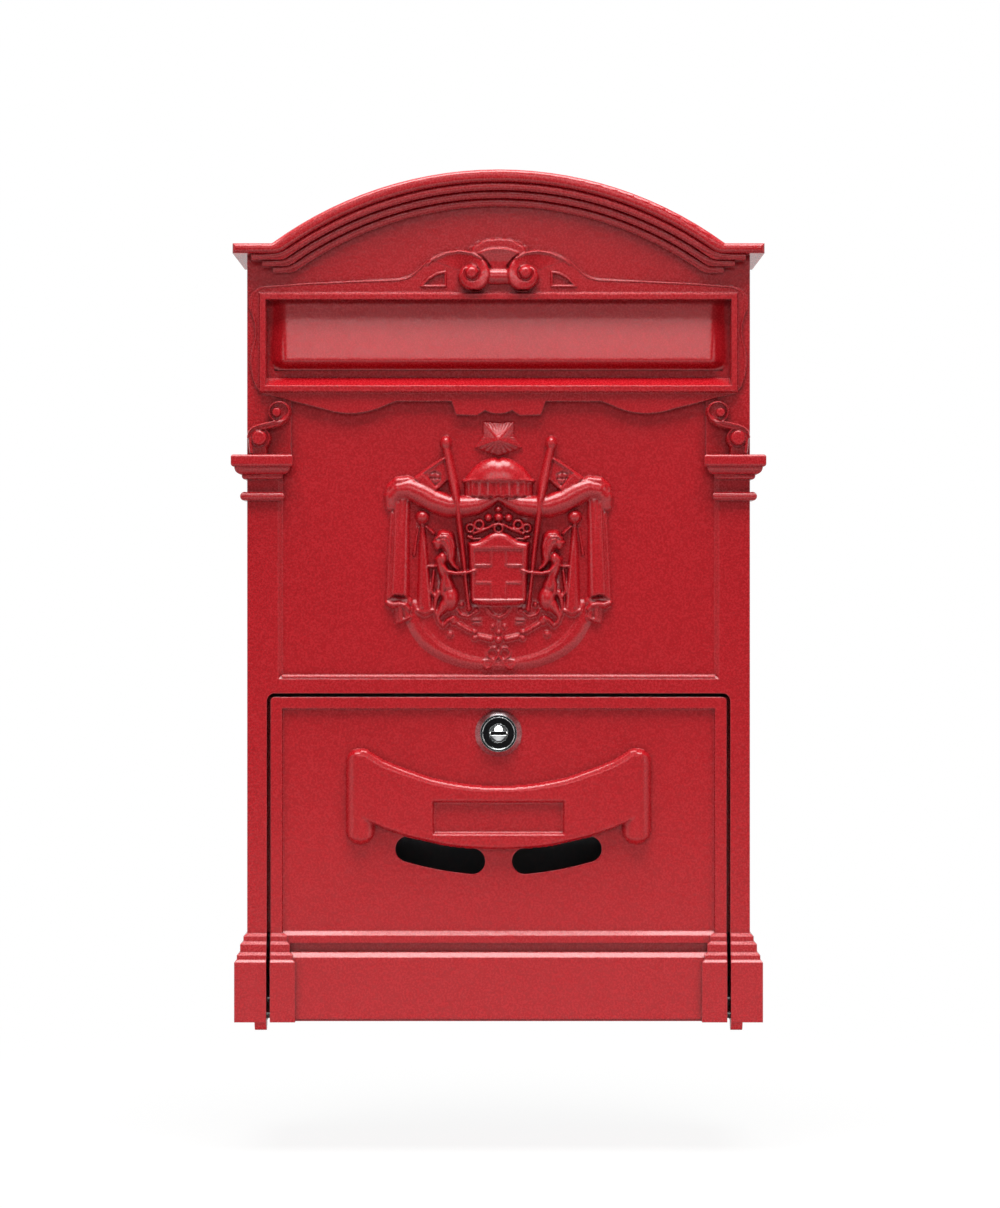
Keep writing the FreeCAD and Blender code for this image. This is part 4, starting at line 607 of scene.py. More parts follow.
PANEL_DISH = ((-39.8, 195), (-38.3, 191.7), (-34.6, 186.7), (-29.7, 181.7), (-23.8, 178), (-16.4, 175.1),
              (-8.1, 173.3), (1, 172.6), (1, 203.3), (-38, 203.3))
SHIELD = ((-15, 231.1), (-12.5, 231.3), (-9.7, 231.9), (-7.1, 233.4), (-4.7, 235.2), (-2.2, 236.2),
          (1, 236.4), (1, 200.3), (-8.1, 200.7), (-12.5, 201.5), (-14, 203.3))
SHIELD_FIELD = ((-12.2, 227.7), (-12.2, 203), (1, 203), (1, 227.7))
print("strokes:", len(ROLLS) + len(DOMES) + len(RINGS), "on each half")

# %% [markdown]
# ### Cap, star and shield
# The cap is a bell that narrows upward with a dip at its crown, over a fluted band. The star is a low
# pyramid on a fat five-pointed outline, so its facets catch the light one by one. The shield is a block
# with a broad bevel, a sunk field and the thin ridges of a cross.

# %% Shapes with a rule of their own
CAP = ((-16.6, 260.6), (-16.4, 261), (-14.5, 263.8), (-12.1, 266.9), (-9, 269.3), (-6.2, 270.9),
       (-3.7, 271.8), (-1.4, 272), (-0.3, 271.3), (1, 271.3), (1, 240), (-16.6, 240))
CAP_SOFT = 11.0
CAP_LOW_Z = 260.3
CAP_SIDE = 4.6
CAP_RISE = 6.6
CAP_RIM = ((-16.7, 260.5, 0.8, 3.2), (-12, 261, 0.9, 5), (-6, 261.5, 1, 6.4), (0, 261.7, 1, 7))
BAND_TOP_Z = 261.2
BAND_BOTTOM_Z = 252.6
BAND_HALF_WIDTH = 16.4
BAND_RISE = 5.4
BAND_SOFT = 0.8
FLUTE_PITCH = 4.1
FLUTE_RISE = 0.35
STAR_Z = 280.2
STAR = ((0, 8.6), (-7.6, 9.0), (-7.3, 2.8), (-11.3, -3.4), (0, -7.7))
STAR_RISE = 4.0
STAR_EDGE = 0.8
STAR_LINES = 4
STAR_LINE_RISE = 0.3
SHIELD_RISE = 4.4
SHIELD_BEVEL = 3.0
SHIELD_SINK = 0.9
SHIELD_WALL = 0.5


def cap(board):
    """Bell of the cap, which swells from its outline down to its rim, over a fluted band."""
    edge = board.inside(CAP)
    top = CAP_SIDE + (CAP_RISE - CAP_SIDE) * crown(board.x / BAND_HALF_WIDTH)
    bell = top * crown(1 - np.clip(edge / CAP_SOFT, 0, 1)) * (board.z > CAP_LOW_Z)
    flute = FLUTE_RISE * np.cos(2 * np.pi * board.x / FLUTE_PITCH)
    hem = crown(1 - np.clip((board.z - BAND_BOTTOM_Z - flute) / BAND_SOFT, 0, 1))
    band = (BAND_RISE * crown(board.x / (BAND_HALF_WIDTH + 0.2)) + flute) * hem
    band = np.where((board.z < BAND_TOP_Z) & (board.x > -BAND_HALF_WIDTH), band, 0)
    return np.max([bell, board.roll(CAP_RIM), band], axis=0)


def star(board):
    """Low pyramid over the star's outline, with fine lines from its top to its edge."""
    x, z = board.x, board.z - STAR_Z
    height = np.zeros_like(x)
    for (ax, az), (bx, bz) in zip(STAR, STAR[1:]):
        cross = ax * bz - az * bx
        a, b = (x * bz - z * bx) / cross, (ax * z - az * x) / cross
        share = a + b
        lines = np.cos(2 * np.pi * STAR_LINES * b / np.maximum(share, 0.01)) * np.clip(2 * share, 0, 1)
        facet = STAR_RISE * (1 - share) + STAR_EDGE + STAR_LINE_RISE * lines
        height = np.where((a >= 0) & (b >= 0) & (share < 1), facet, height)
    return height


def shield(board):
    """Block with a broad bevel and a sunk field."""
    sunk = np.clip(board.inside(SHIELD_FIELD) / SHIELD_WALL, 0, 1)
    return board.slab(SHIELD, SHIELD_RISE, SHIELD_BEVEL) - SHIELD_SINK * sunk


print("star:", len(STAR), "corners on each half; cap", CAP_RISE, "mm high")

# %% [markdown]
# ### Lay the strokes
# The strokes go on like strips of clay, and the highest stays on top. The drapes are cut along a wavy
# hem, and a lip and a tail of cloth show below it. Locks of hair are added on the manes, and the pennants
# get cut lines.

# %% Lay the strokes on the board
ARMS_STEP = 0.33
DIP = 0.12
PANEL_RISE = 1.5
PANEL_SOFT = 4.0
DISH_DEPTH = 0.7
DISH_SOFT = 2.0
PENNANT_SIZE = (2.3, 0.9)
FOLD_SIZE = (3.2, 0.8)
HAIR_SIZE = (0.5, 0.55)
CUT_SIZE = (0.45, 0.7)
arms = Board(-57.2, 0, 168.2, 290.6, ARMS_STEP)
dish = np.clip(arms.inside(PANEL_DISH) / DISH_SOFT, 0, 1)
arms.height = PANEL_RISE * np.sin(np.clip(arms.inside(PANEL) / PANEL_SOFT, 0, 1) * np.pi / 2)
arms.height -= DISH_DEPTH * dish * dish * (3 - 2 * dish)
arms.lay(arms.slab(PENNANT, *PENNANT_SIZE), arms.slab(PENNANT_FOLD, *FOLD_SIZE))
arms.lay(shield(arms), cap(arms), star(arms))
hem = np.interp(arms.x, HEM_X, HEM_Z)
for name, points in ROLLS.items():
    stroke = arms.roll(points)
    arms.lay(np.where(arms.z > hem, stroke, 0) if name.startswith("drape") else stroke)
arms.lay(*[arms.dome(*sizes) for sizes in DOMES.values()])
arms.lay(*[arms.ring(*sizes) for sizes in RINGS.values()])
for points in HAIR:
    arms.height += np.where(arms.height > 2, arms.thread(points, *HAIR_SIZE), 0)
for points in ENGRAVED:
    arms.height -= np.where(arms.height > 1, arms.thread(points, *CUT_SIZE), 0)
arms.smooth()
arms.piece("coat_of_arms", FIELD_Y, DIP, "box")

# %% [markdown]
# ## The banner on the door
# The banner is cast with the door. Each end rolls back into a round bar, a long bevel runs along the
# upper edge and over the bars, and a shallow recess in the middle takes a paper name strip. One outline
# gives the distance to the edge, and the distance gives the height.

# %% Banner
BANNER_RISE = 5.5
BANNER_BAR_X = -66.6
BANNER_BAR_R = 7.0
BANNER_BAR_TOP = ((-73.6, 122.0), (-73.5, 125.4), (-72.3, 128.6), (-69.9, 130.6))
BANNER_TOP_EDGE = ((-66.6, 131.2), (-63.4, 130.6), (-60.6, 128.6), (-55.1, 125.3), (-47.9, 122.3),
                   (-40.1, 119.5), (-31.8, 116.7), (-23.5, 115.0), (-15.2, 113.7), (-6.9, 113.1), (1, 113.1))
BANNER_LOW_EDGE = ((1, 83.4), (-6.9, 83.5), (-18.0, 84.1), (-26.3, 85.2), (-35.7, 87.4), (-43.4, 89.1),
                   (-49.0, 91.0), (-55.6, 93.2), (-64.2, 97.1), (-66.6, 98.6))
BANNER_KNOB = ((-59.8, 122.0), (-59.8, 92.0), (-60.6, 88.6), (-62.9, 86.3), (-66.6, 85.4), (-70.3, 86.3),
               (-72.6, 88.6), (-73.6, 92.0))
BEVEL_FOOT = 4.4
BEVEL_CENTRE = 1.8
BEVEL_END = 3.0
NAME_X = -31.8
NAME_LOW = 90.0
NAME_HIGH = 106.2
NAME_DEPTH = 2.6
NAME_WALLS = (0.7, 1.1, 0.6)
BANNER_HEM_SOFT = 0.6
BANNER_END_SOFT = 3.0


def recess(board, x, low, high, walls):
    """Share of the depth inside a sunk rectangle; walls are the widths of its side, foot and head."""
    side, foot, head = walls
    slopes = [(board.x - x) / side, (board.z - low) / foot, (high - board.z) / head]
    return np.clip(np.min(slopes, axis=0), 0, 1)


banner = Board(-74.4, 0, 82.4, 132.0, 0.4)
upper = BANNER_BAR_TOP + BANNER_TOP_EDGE
bevel_width = np.interp(-banner.x, (0, -BANNER_BAR_X), (BEVEL_CENTRE, BEVEL_END))
bevel = BEVEL_FOOT + (BANNER_RISE - BEVEL_FOOT) * np.clip(banner.line(upper) / bevel_width, 0, 1)
hem = BANNER_RISE * crown(1 - np.clip(banner.line(BANNER_LOW_EDGE) / BANNER_HEM_SOFT, 0, 1))
sheet = np.where(banner.inside(BANNER_TOP_EDGE + BANNER_LOW_EDGE) > 0, np.minimum(bevel, hem), 0)
bar_edge = banner.inside(BANNER_BAR_TOP + BANNER_TOP_EDGE[:2] + BANNER_KNOB)
bar = BANNER_RISE * crown((banner.x - BANNER_BAR_X) / (BANNER_BAR_R + 0.1))
bar = np.min([bar, bevel, BANNER_RISE * crown(1 - np.clip(bar_edge / BANNER_END_SOFT, 0, 1))], axis=0)
banner.lay(sheet, np.where(bar_edge > 0, bar, 0))
banner.height -= NAME_DEPTH * recess(banner, NAME_X, NAME_LOW, NAME_HIGH, NAME_WALLS) * (banner.height > 4)
banner.smooth()
banner.piece("banner", DOOR_Y, DIP, "door")

# %% [markdown]
# ## Keystone scrolls
# The plate round the slot ends in two ribbons that roll up into scrolls, like the ends of a paper strip.
# A roll joins them, and a flared neck with a scalloped shell stands above. The quarter-round panels
# beside them have a thin raised rim.

# %% Keystone
SCROLL = (-11.8, 358.9)
SCROLL_TURN = (-75, -68, -49, -30, -5, 23, 56, 91, 135, 180, 225, 270, 307, 360, 408)
SCROLL_REACH = (24, 22.5, 17.9, 14.7, 11.9, 9.9, 8.4, 7.8, 7.2, 6.9, 7.2, 7.7, 6.8, 5.4, 3.5)
SCROLL_RISE = ((-75, -60, -40, -20, 0, 30, 60, 90, 180, 270, 408),
               (0.0, 0.05, 0.3, 1.0, 2.1, 3.6, 4.5, 4.9, 5.5, 5.9, 6.3))
SCROLL_SOFT = 1.3
SCROLL_RIM_INSET = 0.6
SCROLL_RIM_R = 0.7
SCROLL_RIM_RISE = 0.6
SCROLL_RIM_POINTS = 6
BUTTON = (-12.9, 360.4)
BUTTON_R = 3.0
BUTTON_RISE = 6.6
BUTTON_SOFT = 1.2
GROOVE_DEPTH = 1.1
GROOVE_GAP = 0.4
GROOVE_HALF = 0.7
FAN_Z = 370.4
FAN_HALF = 13.6
FAN_HIGH = 7.2
FAN_LOBES = 9
FAN_RISE = 1.7
FAN_SCALLOP = 0.06
FAN_SOFT = 0.6
NECK = ((-3.4, 361.0), (-4.4, 364.2), (-7.0, 367.4), (-10.4, 370.2), (-8.0, 371.4),
        (-4.0, 372.6), (1, 373.0), (1, 361.0))
NECK_SOFT = 0.9
NECK_RISE = ((361, 366, 370.2, 372), (1.8, 1.9, 3.0, 3.9))
JOINT_Z = 359.1
JOINT_R = 3.8
JOINT_RISE = 3.4
KEY_DIP = 1.5
PANE = ((-25.5, 354.4), (-25.5, 361.3), (-29.5, 360.6), (-33.6, 358.2), (-37.4, 354.4), (-25.5, 354.4))
PANE_SIZE = (0.65, 0.7)


def disc(board, centre, radius, rise, soft):
    """Flat button with a rounded edge."""
    far = np.hypot(board.x - centre[0], board.z - centre[1])
    return rise * crown(1 - np.clip((radius - far) / soft, 0, 1)) * (far < radius)


def scroll_strip(board):
    """Strip that winds clockwise into a scroll; its edge and its rise follow the angle from the top."""
    across, up = board.x - SCROLL[0], board.z - SCROLL[1]
    turn = np.degrees(np.arctan2(across, up))
    turn = np.where(turn < SCROLL_TURN[0], turn + 360, turn)
    layers = []
    for angle in (turn, turn + 360):
        edge = np.interp(angle, SCROLL_TURN, SCROLL_REACH, right=0) - np.hypot(across, up)
        rounded = crown(1 - np.clip(edge / SCROLL_SOFT, 0, 1)) * (edge > 0)
        layers.append(np.interp(angle, *SCROLL_RISE) * rounded)
    return np.maximum(*layers)


def scroll_rim(board):
    """Thin raised rim on the outer edge of the strip."""
    points = []
    for angle, reach in list(zip(SCROLL_TURN, SCROLL_REACH))[:SCROLL_RIM_POINTS]:
        x = SCROLL[0] + (reach - SCROLL_RIM_INSET) * math.sin(math.radians(angle))
        z = SCROLL[1] + (reach - SCROLL_RIM_INSET) * math.cos(math.radians(angle))
        points.append((x, z, SCROLL_RIM_R, np.interp(angle, *SCROLL_RISE) + SCROLL_RIM_RISE))
    return board.roll(points)


key = Board(-44.1, 0, 352.5, 379.2, 0.27)
fan_angle = np.arctan2((key.z - FAN_Z) / FAN_HIGH, key.x / FAN_HALF)
fan_reach = np.hypot(key.x / FAN_HALF, (key.z - FAN_Z) / FAN_HIGH)
fan_rim = 1 - FAN_SCALLOP + FAN_SCALLOP * np.abs(np.cos(fan_angle * FAN_LOBES / 2))
fan_edge = np.clip((fan_rim - fan_reach) * FAN_HIGH / FAN_SOFT, 0, 1)
fan = np.where(key.z > FAN_Z - 2, FAN_RISE * crown(1 - fan_edge), 0)
neck_edge = key.inside(NECK)
neck = np.interp(key.z, *NECK_RISE) * crown(1 - np.clip(neck_edge / NECK_SOFT, 0, 1)) * (neck_edge > 0)
joint = key.roll([(x, JOINT_Z, JOINT_R, JOINT_RISE) for x in (-8, 1)])
key.lay(fan, neck, joint, scroll_strip(key), scroll_rim(key))
groove = np.hypot(key.x - BUTTON[0], key.z - BUTTON[1]) - BUTTON_R - GROOVE_GAP
key.height -= GROOVE_DEPTH * crown(groove / GROOVE_HALF) * (key.height > 3)
key.lay(disc(key, BUTTON, BUTTON_R, BUTTON_RISE, BUTTON_SOFT), key.thread(PANE, *PANE_SIZE))
key.smooth()
key.piece("keystone_scrolls", PLATE_Y, KEY_DIP, "box")

# %% [markdown]
# ## Scrolls on the capitals
# An S-shaped strip stands on each capital. Its upper end rolls inward and its lower end rolls outward
# over a small foot. Each roll shows a raised rim and a button in the middle.

# %% Capital scrolls
UPPER = (-105.6, 293.6)
LOWER = (-115.2, 281.1)
STEM = ((-107.4, 289.6), (-111.2, 288.7), (-115.3, 287.7), (-118.2, 286.6), (-120.2, 284.6), (-120.8, 281.9),
        (-120.4, 277), (-119.9, 273), (-117.6, 273), (-118.4, 281.9), (-114.0, 284.4), (-109.5, 285.6),
        (-104.9, 287.1), (-101.6, 289.2), (-100.4, 291.8), (-100.6, 294.5), (-104, 291))
FOOT = ((-120.0, 272.0), (-119.8, 281), (-111.4, 280), (-111.4, 272.0))
FOOT_SIZE = (4.8, 0.7)
STEM_SIZE = (6.0, 0.7)
CREST_SIZE = (0.8, 7.0)
CURLS = ((*UPPER, 4.75, 0.7, 6.6), (*LOWER, 4.9, 0.7, 5.8))
BUTTONS = ((UPPER, 5.3, 4.8, 0.6), ((UPPER[0] - 1.2, UPPER[1] - 0.2), 2.5, 7.2, 0.8),
           (LOWER, 5.5, 5.0, 0.9), (LOWER, 3.9, 7.4, 0.9))
SCROLL_DIP = 0.1
scroll = Board(-121.0, -99.4, 273.2, 299.4, 0.22)
crest = scroll.roll([(x + 0.2, z - 0.5, *CREST_SIZE) for x, z in STEM[:6]])
scroll.lay(scroll.slab(FOOT, *FOOT_SIZE), scroll.slab(STEM, *STEM_SIZE), crest)
scroll.lay(*[scroll.ring(*sizes) for sizes in CURLS], *[disc(scroll, *sizes) for sizes in BUTTONS])
scroll.smooth()
scroll.piece("capital_scrolls", FRONT_Y, SCROLL_DIP, "box")

# %% [markdown]
# ## The letter flap
# The flap is cast with a raised panel whose edges run out softly. Its upper part hangs upright and its
# lower part leans out, which is why the photograph shows the lower half so much brighter. The panel of
# the solid is taken off a copy of the flap, and a soft one takes its place.

# %% Flap
FLAP_Y = -73.2
FLAP_X = (-110.9, -102.0)
FLAP_Z = (314.9, 318.3)
FLAP_HEIGHTS = (312, 320, 333, 339, 350)
FLAP_RISES = (5.9, 5.3, 3.4, 2.8, 2.5)
FLAP_PASSES = 6
FACING = -0.1
panel = Board(-111.2, 0, 314.2, 349.4, 0.5)
side = np.clip((panel.x - FLAP_X[0]) / (FLAP_X[1] - FLAP_X[0]), 0, 1)
base = np.clip((panel.z - FLAP_Z[0]) / (FLAP_Z[1] - FLAP_Z[0]), 0, 1)
share = np.clip(1 - np.hypot(1 - side, 1 - base), 0, 1)
panel.height = np.interp(panel.z, FLAP_HEIGHTS, FLAP_RISES) * share * share * (3 - 2 * share)
for _ in range(FLAP_PASSES):
    panel.smooth()
sheet = bmesh.new()
sheet.from_mesh(NODES["letter_flap"].data)
bmesh.ops.remove_doubles(sheet, verts=sheet.verts, dist=JOIN_MM * MM)
sheet.normal_update()
proud = (FLAP_Y - SKIN_MM) * MM
front = [f for f in sheet.faces if f.normal.y < FACING and min(v.co.y for v in f.verts) < proud]
bmesh.ops.delete(sheet, geom=front, context="FACES")
sheet.verts.index_update()
points, quads = panel.grid(FLAP_Y, DIP)
faces = [[v.index + len(points) for v in f.verts] for f in sheet.faces]
points += [tuple(v.co) for v in sheet.verts]
sheet.free()
flap_mesh = merged_mesh("finished_letter_flap", points, quads + faces)
flap_mesh.shade_smooth()
flap_mesh.set_sharp_from_angle(angle=SHARP)
flap = new_piece("finished_letter_flap", flap_mesh, "flap", RED_COAT)
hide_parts("letter_flap")
print("flap:", len(flap_mesh.polygons), "faces")

# %% [markdown]
# ## Reeds of the cornice, rim of the plate and ledge
# Under the cornice's bead run three round reeds that bend at the shoulders with the arch. The plate round
# the slot has a fine raised rim along its swept edge, and the field ends below in a rounded ledge. Each
# is one section carried along a path, so one node tree sweeps a circle along a line of points, and its
# radius can change.

# %% Sweep
ARCH_CENTRE_Z = 225.22
ARCH_R = 184.78
SHOULDER_Z = 374.5
BEAD_DROP = (6.0, 4.8)
REED_DROP = (3.65, 2.95)
REED_R = 2.1
REED_ENDS = (118.8, 113.7, 108.6)
REED_FRONTS = (-85.1, -82.7, -80.3)
REED_SET_BACK = 1.2
REED_FADE = 8.0
REED_POINTS = 181
REED_SIDES = 20
ELBOW = 3.0
RIM_R = 0.5
RIM_SINK = 0.15
RIM_SIDES = 8
LEDGE_R = 1.1
LEDGE_SIDES = 32
LEDGE = ((-104.6, -76.9, 165.9, 1.0), (104.6, -76.9, 165.9, 1.0))
PLATE_RIM = ((-33.5, 367.2), (-36.4, 364.4), (-40.8, 360.1), (-43.8, 358.2), (-48.5, 357.2), (-70, 356.5),
             (-95, 355.3), (-113.2, 353.8), (-117.4, 351.5), (-118.8, 347.5), (-118.6, 341.5),
             (-117.0, 336.5), (-116.7, 332.0), (-117.3, 328.0), (-118.3, 324.0), (-118.9, 318.0),
             (-118.3, 311.0), (-116.6, 306.0), (-113.9, 303.3))


def sweep_tree():
    """Sweep a circle along lines; a point attribute scales its radius."""
    tree, given = new_tree("sweep_round", Radius="Float", Sides="Int", Coat="Material")
    path = add(tree, "GeometryNodeMeshToCurve", Mesh=given["Geometry"])
    share = add(tree, "GeometryNodeInputNamedAttribute", {"data_type": "FLOAT"}, Name="share")
    ring = add(tree, "GeometryNodeCurvePrimitiveCircle", Resolution=given["Sides"], Radius=given["Radius"])
    tube = add(tree, "GeometryNodeCurveToMesh", Curve=path.outputs[0], Profile_Curve=ring.outputs["Curve"],
               Scale=share.outputs["Attribute"], Fill_Caps=True)
    flow = add(tree, "GeometryNodeSetShadeSmooth", {"domain": "FACE"}, i0=tube.outputs[0], Shade_Smooth=True)
    solid = add(tree, "GeometryNodeRealizeInstances", Geometry=flow.outputs[0])
    coated = add(tree, "GeometryNodeSetMaterial", Geometry=solid.outputs[0], Material=given["Coat"])
    add(tree, "NodeGroupOutput", Geometry=coated.outputs[0])
    return tree


def sweep(name, paths, radius, sides):
    """Red piece swept along paths of (x, y, height, share of the radius)."""
    mesh = bpy.data.meshes.new(name)
    points = [place(*point[:3]) for path in paths for point in path]
    starts = np.cumsum([0] + [len(path) for path in paths])
    edges = [(i, i + 1) for a, b in zip(starts, starts[1:]) for i in range(a, b - 1)]
    mesh.from_pydata(points, edges, [])
    shares = [point[3] for path in paths for point in path]
    mesh.attributes.new("share", "FLOAT", "POINT").data.foreach_set("value", shares)
    piece = bpy.data.objects.new(name, mesh)
    bpy.context.scene.collection.objects.link(piece)
    attach(piece, SWEEP, Radius=radius * MM, Sides=sides, Coat=RED_COAT)
    tube = settle(piece)
    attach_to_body(piece, "box")
    print(name + ":", len(tube.polygons), "faces")


def reed(number):
    """Path of one reed: flat over the shoulder, an elbow, then the arch."""
    half = REED_ENDS[number]
    drop, end_drop = (bead + (number + 0.5) * step for bead, step in zip(BEAD_DROP, REED_DROP))
    x = np.linspace(-half, half, REED_POINTS)
    arch = ARCH_CENTRE_Z + np.sqrt((ARCH_R - drop) ** 2 - x * x)
    flat = SHOULDER_Z - end_drop
    z = (arch + flat + np.sqrt((arch - flat) ** 2 + ELBOW ** 2)) / 2
    steep = np.clip((z - flat) / REED_FADE, 0, 1)
    size = REED_DROP[1] / REED_DROP[0] * (1 - steep) + steep
    return list(zip(x, np.full_like(x, REED_FRONTS[number] + REED_SET_BACK), z, size))


SWEEP = sweep_tree()
sweep("cornice_reeds", [reed(number) for number in range(len(REED_ENDS))], REED_R, REED_SIDES)
left = [(x, PLATE_Y + RIM_SINK, z, 1.0) for x, z in PLATE_RIM]
sweep("plate_rim", [left, [(-x, y, z, s) for x, y, z, s in left]], RIM_R, RIM_SIDES)
sweep("field_ledge", [LEDGE], LEDGE_R, LEDGE_SIDES)

# %% [markdown]
# ## The lock
# The lock is a chrome-plated cam lock. Its collar is a satin cone round a face in black enamel, which is
# baked on smooth and looks deep and glossy, with one fine bright ring. The key goes into a slot between
# the two lips of a bright guide. Collar, face and ring are turned from a profile, as on a lathe, and the
# guide is a small relief.

# %% Lock
LOCK_Z = 138.8
COLLAR = ((11.3, -75.9), (11.3, -76.1), (8.95, -79.35), (8.65, -79.35), (8.65, -78.2))
FACE = ((8.7, -78.3), (8.1, -78.55), (7.95, -78.75), (4.75, -78.75), (4.75, -77.6))
FACE_RING_R = 7.75
FACE_RING_Y = -78.75
RING_WIRE = 0.28
TURN_STEPS = 72
PLUG_Y = -79.05
EYE_WIDE = 4.7
EYE_HIGH = 3.7
EYE_CURVE = 1.7
EYE_EDGE = 0.15
EYE_CROWN = 0.75
EYE_DIP = 0.05
KEYWAY_WIDE = 3.9
KEYWAY_HIGH = 0.8
KEYWAY_SHADE_DEPTHS = (-0.08, 0.4)


def turned(name, profile, body, material):
    """Piece turned on the lock's axis from points of radius and depth."""
    points = []
    for step in range(TURN_STEPS):
        angle = 2 * math.pi * step / TURN_STEPS
        points += [place(r * math.cos(angle), y, LOCK_Z + r * math.sin(angle)) for r, y in profile]
    count = len(profile)
    faces = []
    for step in range(TURN_STEPS):
        here = step * count
        there = (step + 1) % TURN_STEPS * count
        faces += [(here + i, there + i, there + i + 1, here + i + 1) for i in range(count - 1)]
    mesh = merged_mesh(name, points, faces)
    mesh.shade_smooth()
    mesh.set_sharp_from_angle(angle=SHARP)
    return new_piece(name, mesh, body, material)


BLACK_ENAMEL = surface("black_enamel", "#0D0D0F", "#08080A", 0.15, 0.7, relief_mm=0.006, metallic=0.0)
collar = turned("lock_collar", COLLAR, "door", SATIN_CHROME)
face = turned("lock_face", FACE, "door", BLACK_ENAMEL)
turns = np.linspace(0, math.pi, 7)
bead = [(FACE_RING_R + RING_WIRE * math.cos(a), FACE_RING_Y - RING_WIRE * math.sin(a)) for a in turns]
ring = turned("lock_face_ring", bead, "door", CHROME)
eye = Board(-5.0, 0, LOCK_Z - 4, LOCK_Z + 4, 0.14)
up = np.abs(eye.z - LOCK_Z)
eye_half = EYE_HIGH * (1 - (np.abs(eye.x) / EYE_WIDE) ** EYE_CURVE)
eye.height = np.where(up < eye_half, EYE_EDGE + EYE_CROWN * (1 - up / np.maximum(eye_half, 0.1)), 0)
eye.height = np.where((up < KEYWAY_HIGH) & (eye.x > -KEYWAY_WIDE), 0, eye.height)
key_guide = eye.piece("lock_key_guide", PLUG_Y, EYE_DIP, "lock_cylinder", "lock_chrome", CHROME)
# A black block in the key slot is painted shade for the dark inside of the slot.
rim = ((-KEYWAY_WIDE, -KEYWAY_HIGH), (KEYWAY_WIDE, -KEYWAY_HIGH),
       (KEYWAY_WIDE, KEYWAY_HIGH), (-KEYWAY_WIDE, KEYWAY_HIGH))
corners = [place(x, PLUG_Y + depth, LOCK_Z + z) for depth in KEYWAY_SHADE_DEPTHS for x, z in rim]
walls = [(i, i + 4, (i + 1) % 4 + 4, (i + 1) % 4) for i in range(4)]
keyway_shade_mesh = merged_mesh("lock_keyway", corners, [(0, 1, 2, 3), (7, 6, 5, 4)] + walls)
keyway_shade = new_piece("lock_keyway", keyway_shade_mesh, "lock_cylinder", BLACK_ENAMEL)
print("lock pieces:", [piece.name for piece in (collar, face, ring, key_guide, keyway_shade)])

# %% [markdown]
# ## Camera, light and floor
# The photograph is level and square to the front, from about 1.8 m. A large soft box above lights the
# upper edges, a long strip in front gives the veil on the flap, and two narrow boxes draw soft lines down
# the round bars. The backdrop is white where the camera or a mirror sees it, and the side behind the
# camera stays dim, as in a studio. The floor is a plain pale sheet that keeps the shadow. It is greyer
# near the box for mirror rays and far from it for soft ones, so that undersides stay dark.

# %% Camera
CAMERA_FAR = 1800.0
CAMERA_X = 0.7
CAMERA_HIGH = 201.2
PIXELS_PER_MM = 2.073
VIEW_WIDE = 1000 / PIXELS_PER_MM
VIEW_HIGH = 1208 / PIXELS_PER_MM
camera_data = bpy.data.cameras.new("camera")
camera_data.sensor_width = 36.0
camera_data.lens = camera_data.sensor_width * CAMERA_FAR / VIEW_HIGH
camera = bpy.data.objects.new("camera", camera_data)
camera.location = place(CAMERA_X, FRONT_Y - CAMERA_FAR, CAMERA_HIGH)
camera.rotation_euler = (math.radians(90), 0, 0)
bpy.context.scene.collection.objects.link(camera)
bpy.context.scene.camera = camera
print("lens:", round(camera_data.lens, 1), "mm, view", round(VIEW_WIDE), "x", round(VIEW_HIGH), "mm")

# %% Light
AIM = (0, -0.05, 0.0)
LAMPS = (("top_box", (0.0, -0.5, 1.5), (1.4, 0.9), 52), ("front_box", (0.0, -2.4, 0.95), (1.8, 0.28), 10.5),
         ("left_box", (-1.8, -1.1, 0.35), (0.3, 1.0), 3.5), ("right_box", (1.8, -1.1, 0.35), (0.3, 1.0), 3.5))


def soft_box(name, where, size, watts):
    """Rectangular area lamp that faces the middle of the box."""
    data = bpy.data.lights.new(name, "AREA")
    data.shape = "RECTANGLE"
    data.size, data.size_y = size
    data.energy = watts
    lamp = bpy.data.objects.new(name, data)
    bpy.context.scene.collection.objects.link(lamp)
    lamp.location = where
    heading = Vector(AIM) - Vector(where)
    lamp.rotation_euler = heading.to_track_quat("-Z", "Y").to_euler()


for lamp in LAMPS:
    soft_box(*lamp)
print("lamps:", [lamp[0] for lamp in LAMPS])

# %% Room
BACK_FROM = -0.5
BACK_FULL = 0.3
ROOM_LIGHT = 0.12
DIM_FRONT = 0.08
world = bpy.data.worlds.new("pale_room")
bpy.context.scene.world = world
world.use_nodes = True
room = world.node_tree
room.nodes.clear()
rays = add(room, "ShaderNodeLightPath")
seen = add(room, "ShaderNodeMath", {"operation": "MAXIMUM"}, i0=rays.outputs["Is Glossy Ray"],
           i1=rays.outputs["Is Transmission Ray"])
heading = add(room, "ShaderNodeSeparateXYZ", Vector=add(room, "ShaderNodeTexCoord").outputs["Generated"])
backdrop = add(room, "ShaderNodeMapRange", Value=heading.outputs["Y"], From_Min=BACK_FROM, From_Max=BACK_FULL,
               To_Min=DIM_FRONT, To_Max=1.0)
shown = add(room, "ShaderNodeMapRange", Value=seen.outputs[0], To_Min=ROOM_LIGHT, To_Max=backdrop.outputs[0])
strength = add(room, "ShaderNodeMapRange", Value=rays.outputs["Is Camera Ray"], To_Min=shown.outputs[0],
               To_Max=1.0)
paper_white = add(room, "ShaderNodeBackground", Color=(1, 1, 1, 1), Strength=strength.outputs[0])
add(room, "ShaderNodeOutputWorld", Surface=paper_white.outputs[0])
bpy.context.scene.view_settings.view_transform = "Standard"
print("room:", world.name, "with light", ROOM_LIGHT)

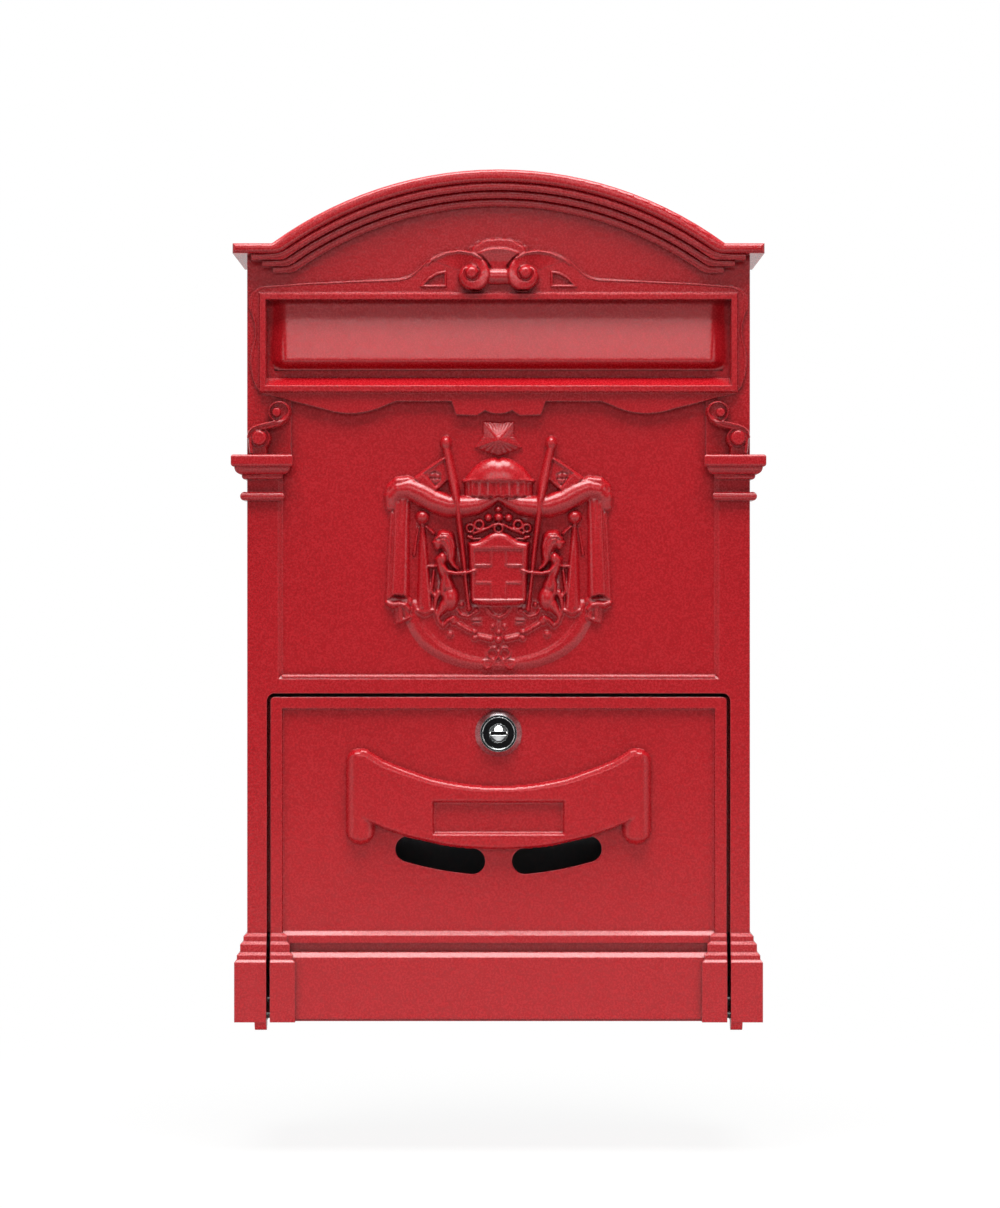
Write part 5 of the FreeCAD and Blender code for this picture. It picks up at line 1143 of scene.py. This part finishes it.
# %% Floor
FLOOR_DROP = 60.0
PAPER_NEAR = 0.3
PAPER_FAR = 0.8
PAPER_TONE = "#F4F4F2"
PAPER_SHADE_GREY = "#77777A"
WHITE_FROM = 0.2
WHITE_FULL = 0.6
NEAR_WHITE = 0.9
FLOOR_HALF = 1.6
floor_mesh = bpy.data.meshes.new("floor")
floor_z = CAD_LOW[2] - FLOOR_DROP * MM
floor_square = ((-1, -1), (1, -1), (1, 1), (-1, 1))
floor_corners = [(x * FLOOR_HALF, y * FLOOR_HALF, floor_z) for x, y in floor_square]
floor_mesh.from_pydata(floor_corners, [], [(0, 1, 2, 3)])
floor = bpy.data.objects.new("floor", floor_mesh)
bpy.context.scene.collection.objects.link(floor)
paper, paper_tree, paper_shader = new_material("pale_paper", Roughness=0.9)
floor_rays = add(paper_tree, "ShaderNodeLightPath")
glow = add(paper_tree, "ShaderNodeEmission", Color=(1, 1, 1, 1), Strength=1.0)
spot = add(paper_tree, "ShaderNodeTexCoord").outputs["Object"]
away = add(paper_tree, "ShaderNodeVectorMath", {"operation": "LENGTH"}, i0=spot).outputs["Value"]
tone = add(paper_tree, "ShaderNodeMapRange", {"interpolation_type": "SMOOTHSTEP"}, Value=away,
           From_Min=PAPER_NEAR, From_Max=PAPER_FAR)
# Grey on the floor for mirror rays near the box and soft rays far from it is painted shade for the
# undersides.
far_paper_shade = add(paper_tree, "ShaderNodeMath", {"operation": "MULTIPLY"}, i0=tone.outputs[0],
               i1=floor_rays.outputs["Is Diffuse Ray"])
close = add(paper_tree, "ShaderNodeMath", {"operation": "SUBTRACT"}, i0=1.0, i1=tone.outputs[0])
paper_shade_share = add(paper_tree, "ShaderNodeMath", {"operation": "MULTIPLY_ADD"}, i0=close.outputs[0],
           i1=floor_rays.outputs["Is Glossy Ray"], i2=far_paper_shade.outputs[0])
sheet_tone = add(paper_tree, "ShaderNodeMix", {"data_type": "RGBA"}, Factor=paper_shade_share.outputs[0])
sheet_tone.inputs["A"].default_value = linear(PAPER_TONE)
sheet_tone.inputs["B"].default_value = linear(PAPER_SHADE_GREY)
paper_tree.links.new(sheet_tone.outputs["Result"], paper_shader.inputs["Base Color"])
pale = add(paper_tree, "ShaderNodeMapRange", {"interpolation_type": "SMOOTHSTEP"}, Value=away,
           From_Min=WHITE_FROM, From_Max=WHITE_FULL, To_Min=NEAR_WHITE, To_Max=1.0)
hold = add(paper_tree, "ShaderNodeMath", {"operation": "MULTIPLY"}, i0=floor_rays.outputs["Is Camera Ray"],
           i1=pale.outputs[0])
blend = add(paper_tree, "ShaderNodeMixShader", i0=hold.outputs[0], i1=paper_shader.outputs[0],
            i2=glow.outputs[0])
paper_output = [n for n in paper_tree.nodes if n.type == "OUTPUT_MATERIAL"][0]
paper_tree.links.new(blend.outputs[0], paper_output.inputs["Surface"])
floor.data.materials.append(paper)
print("floor at", round(floor_z / MM, 1), "mm")
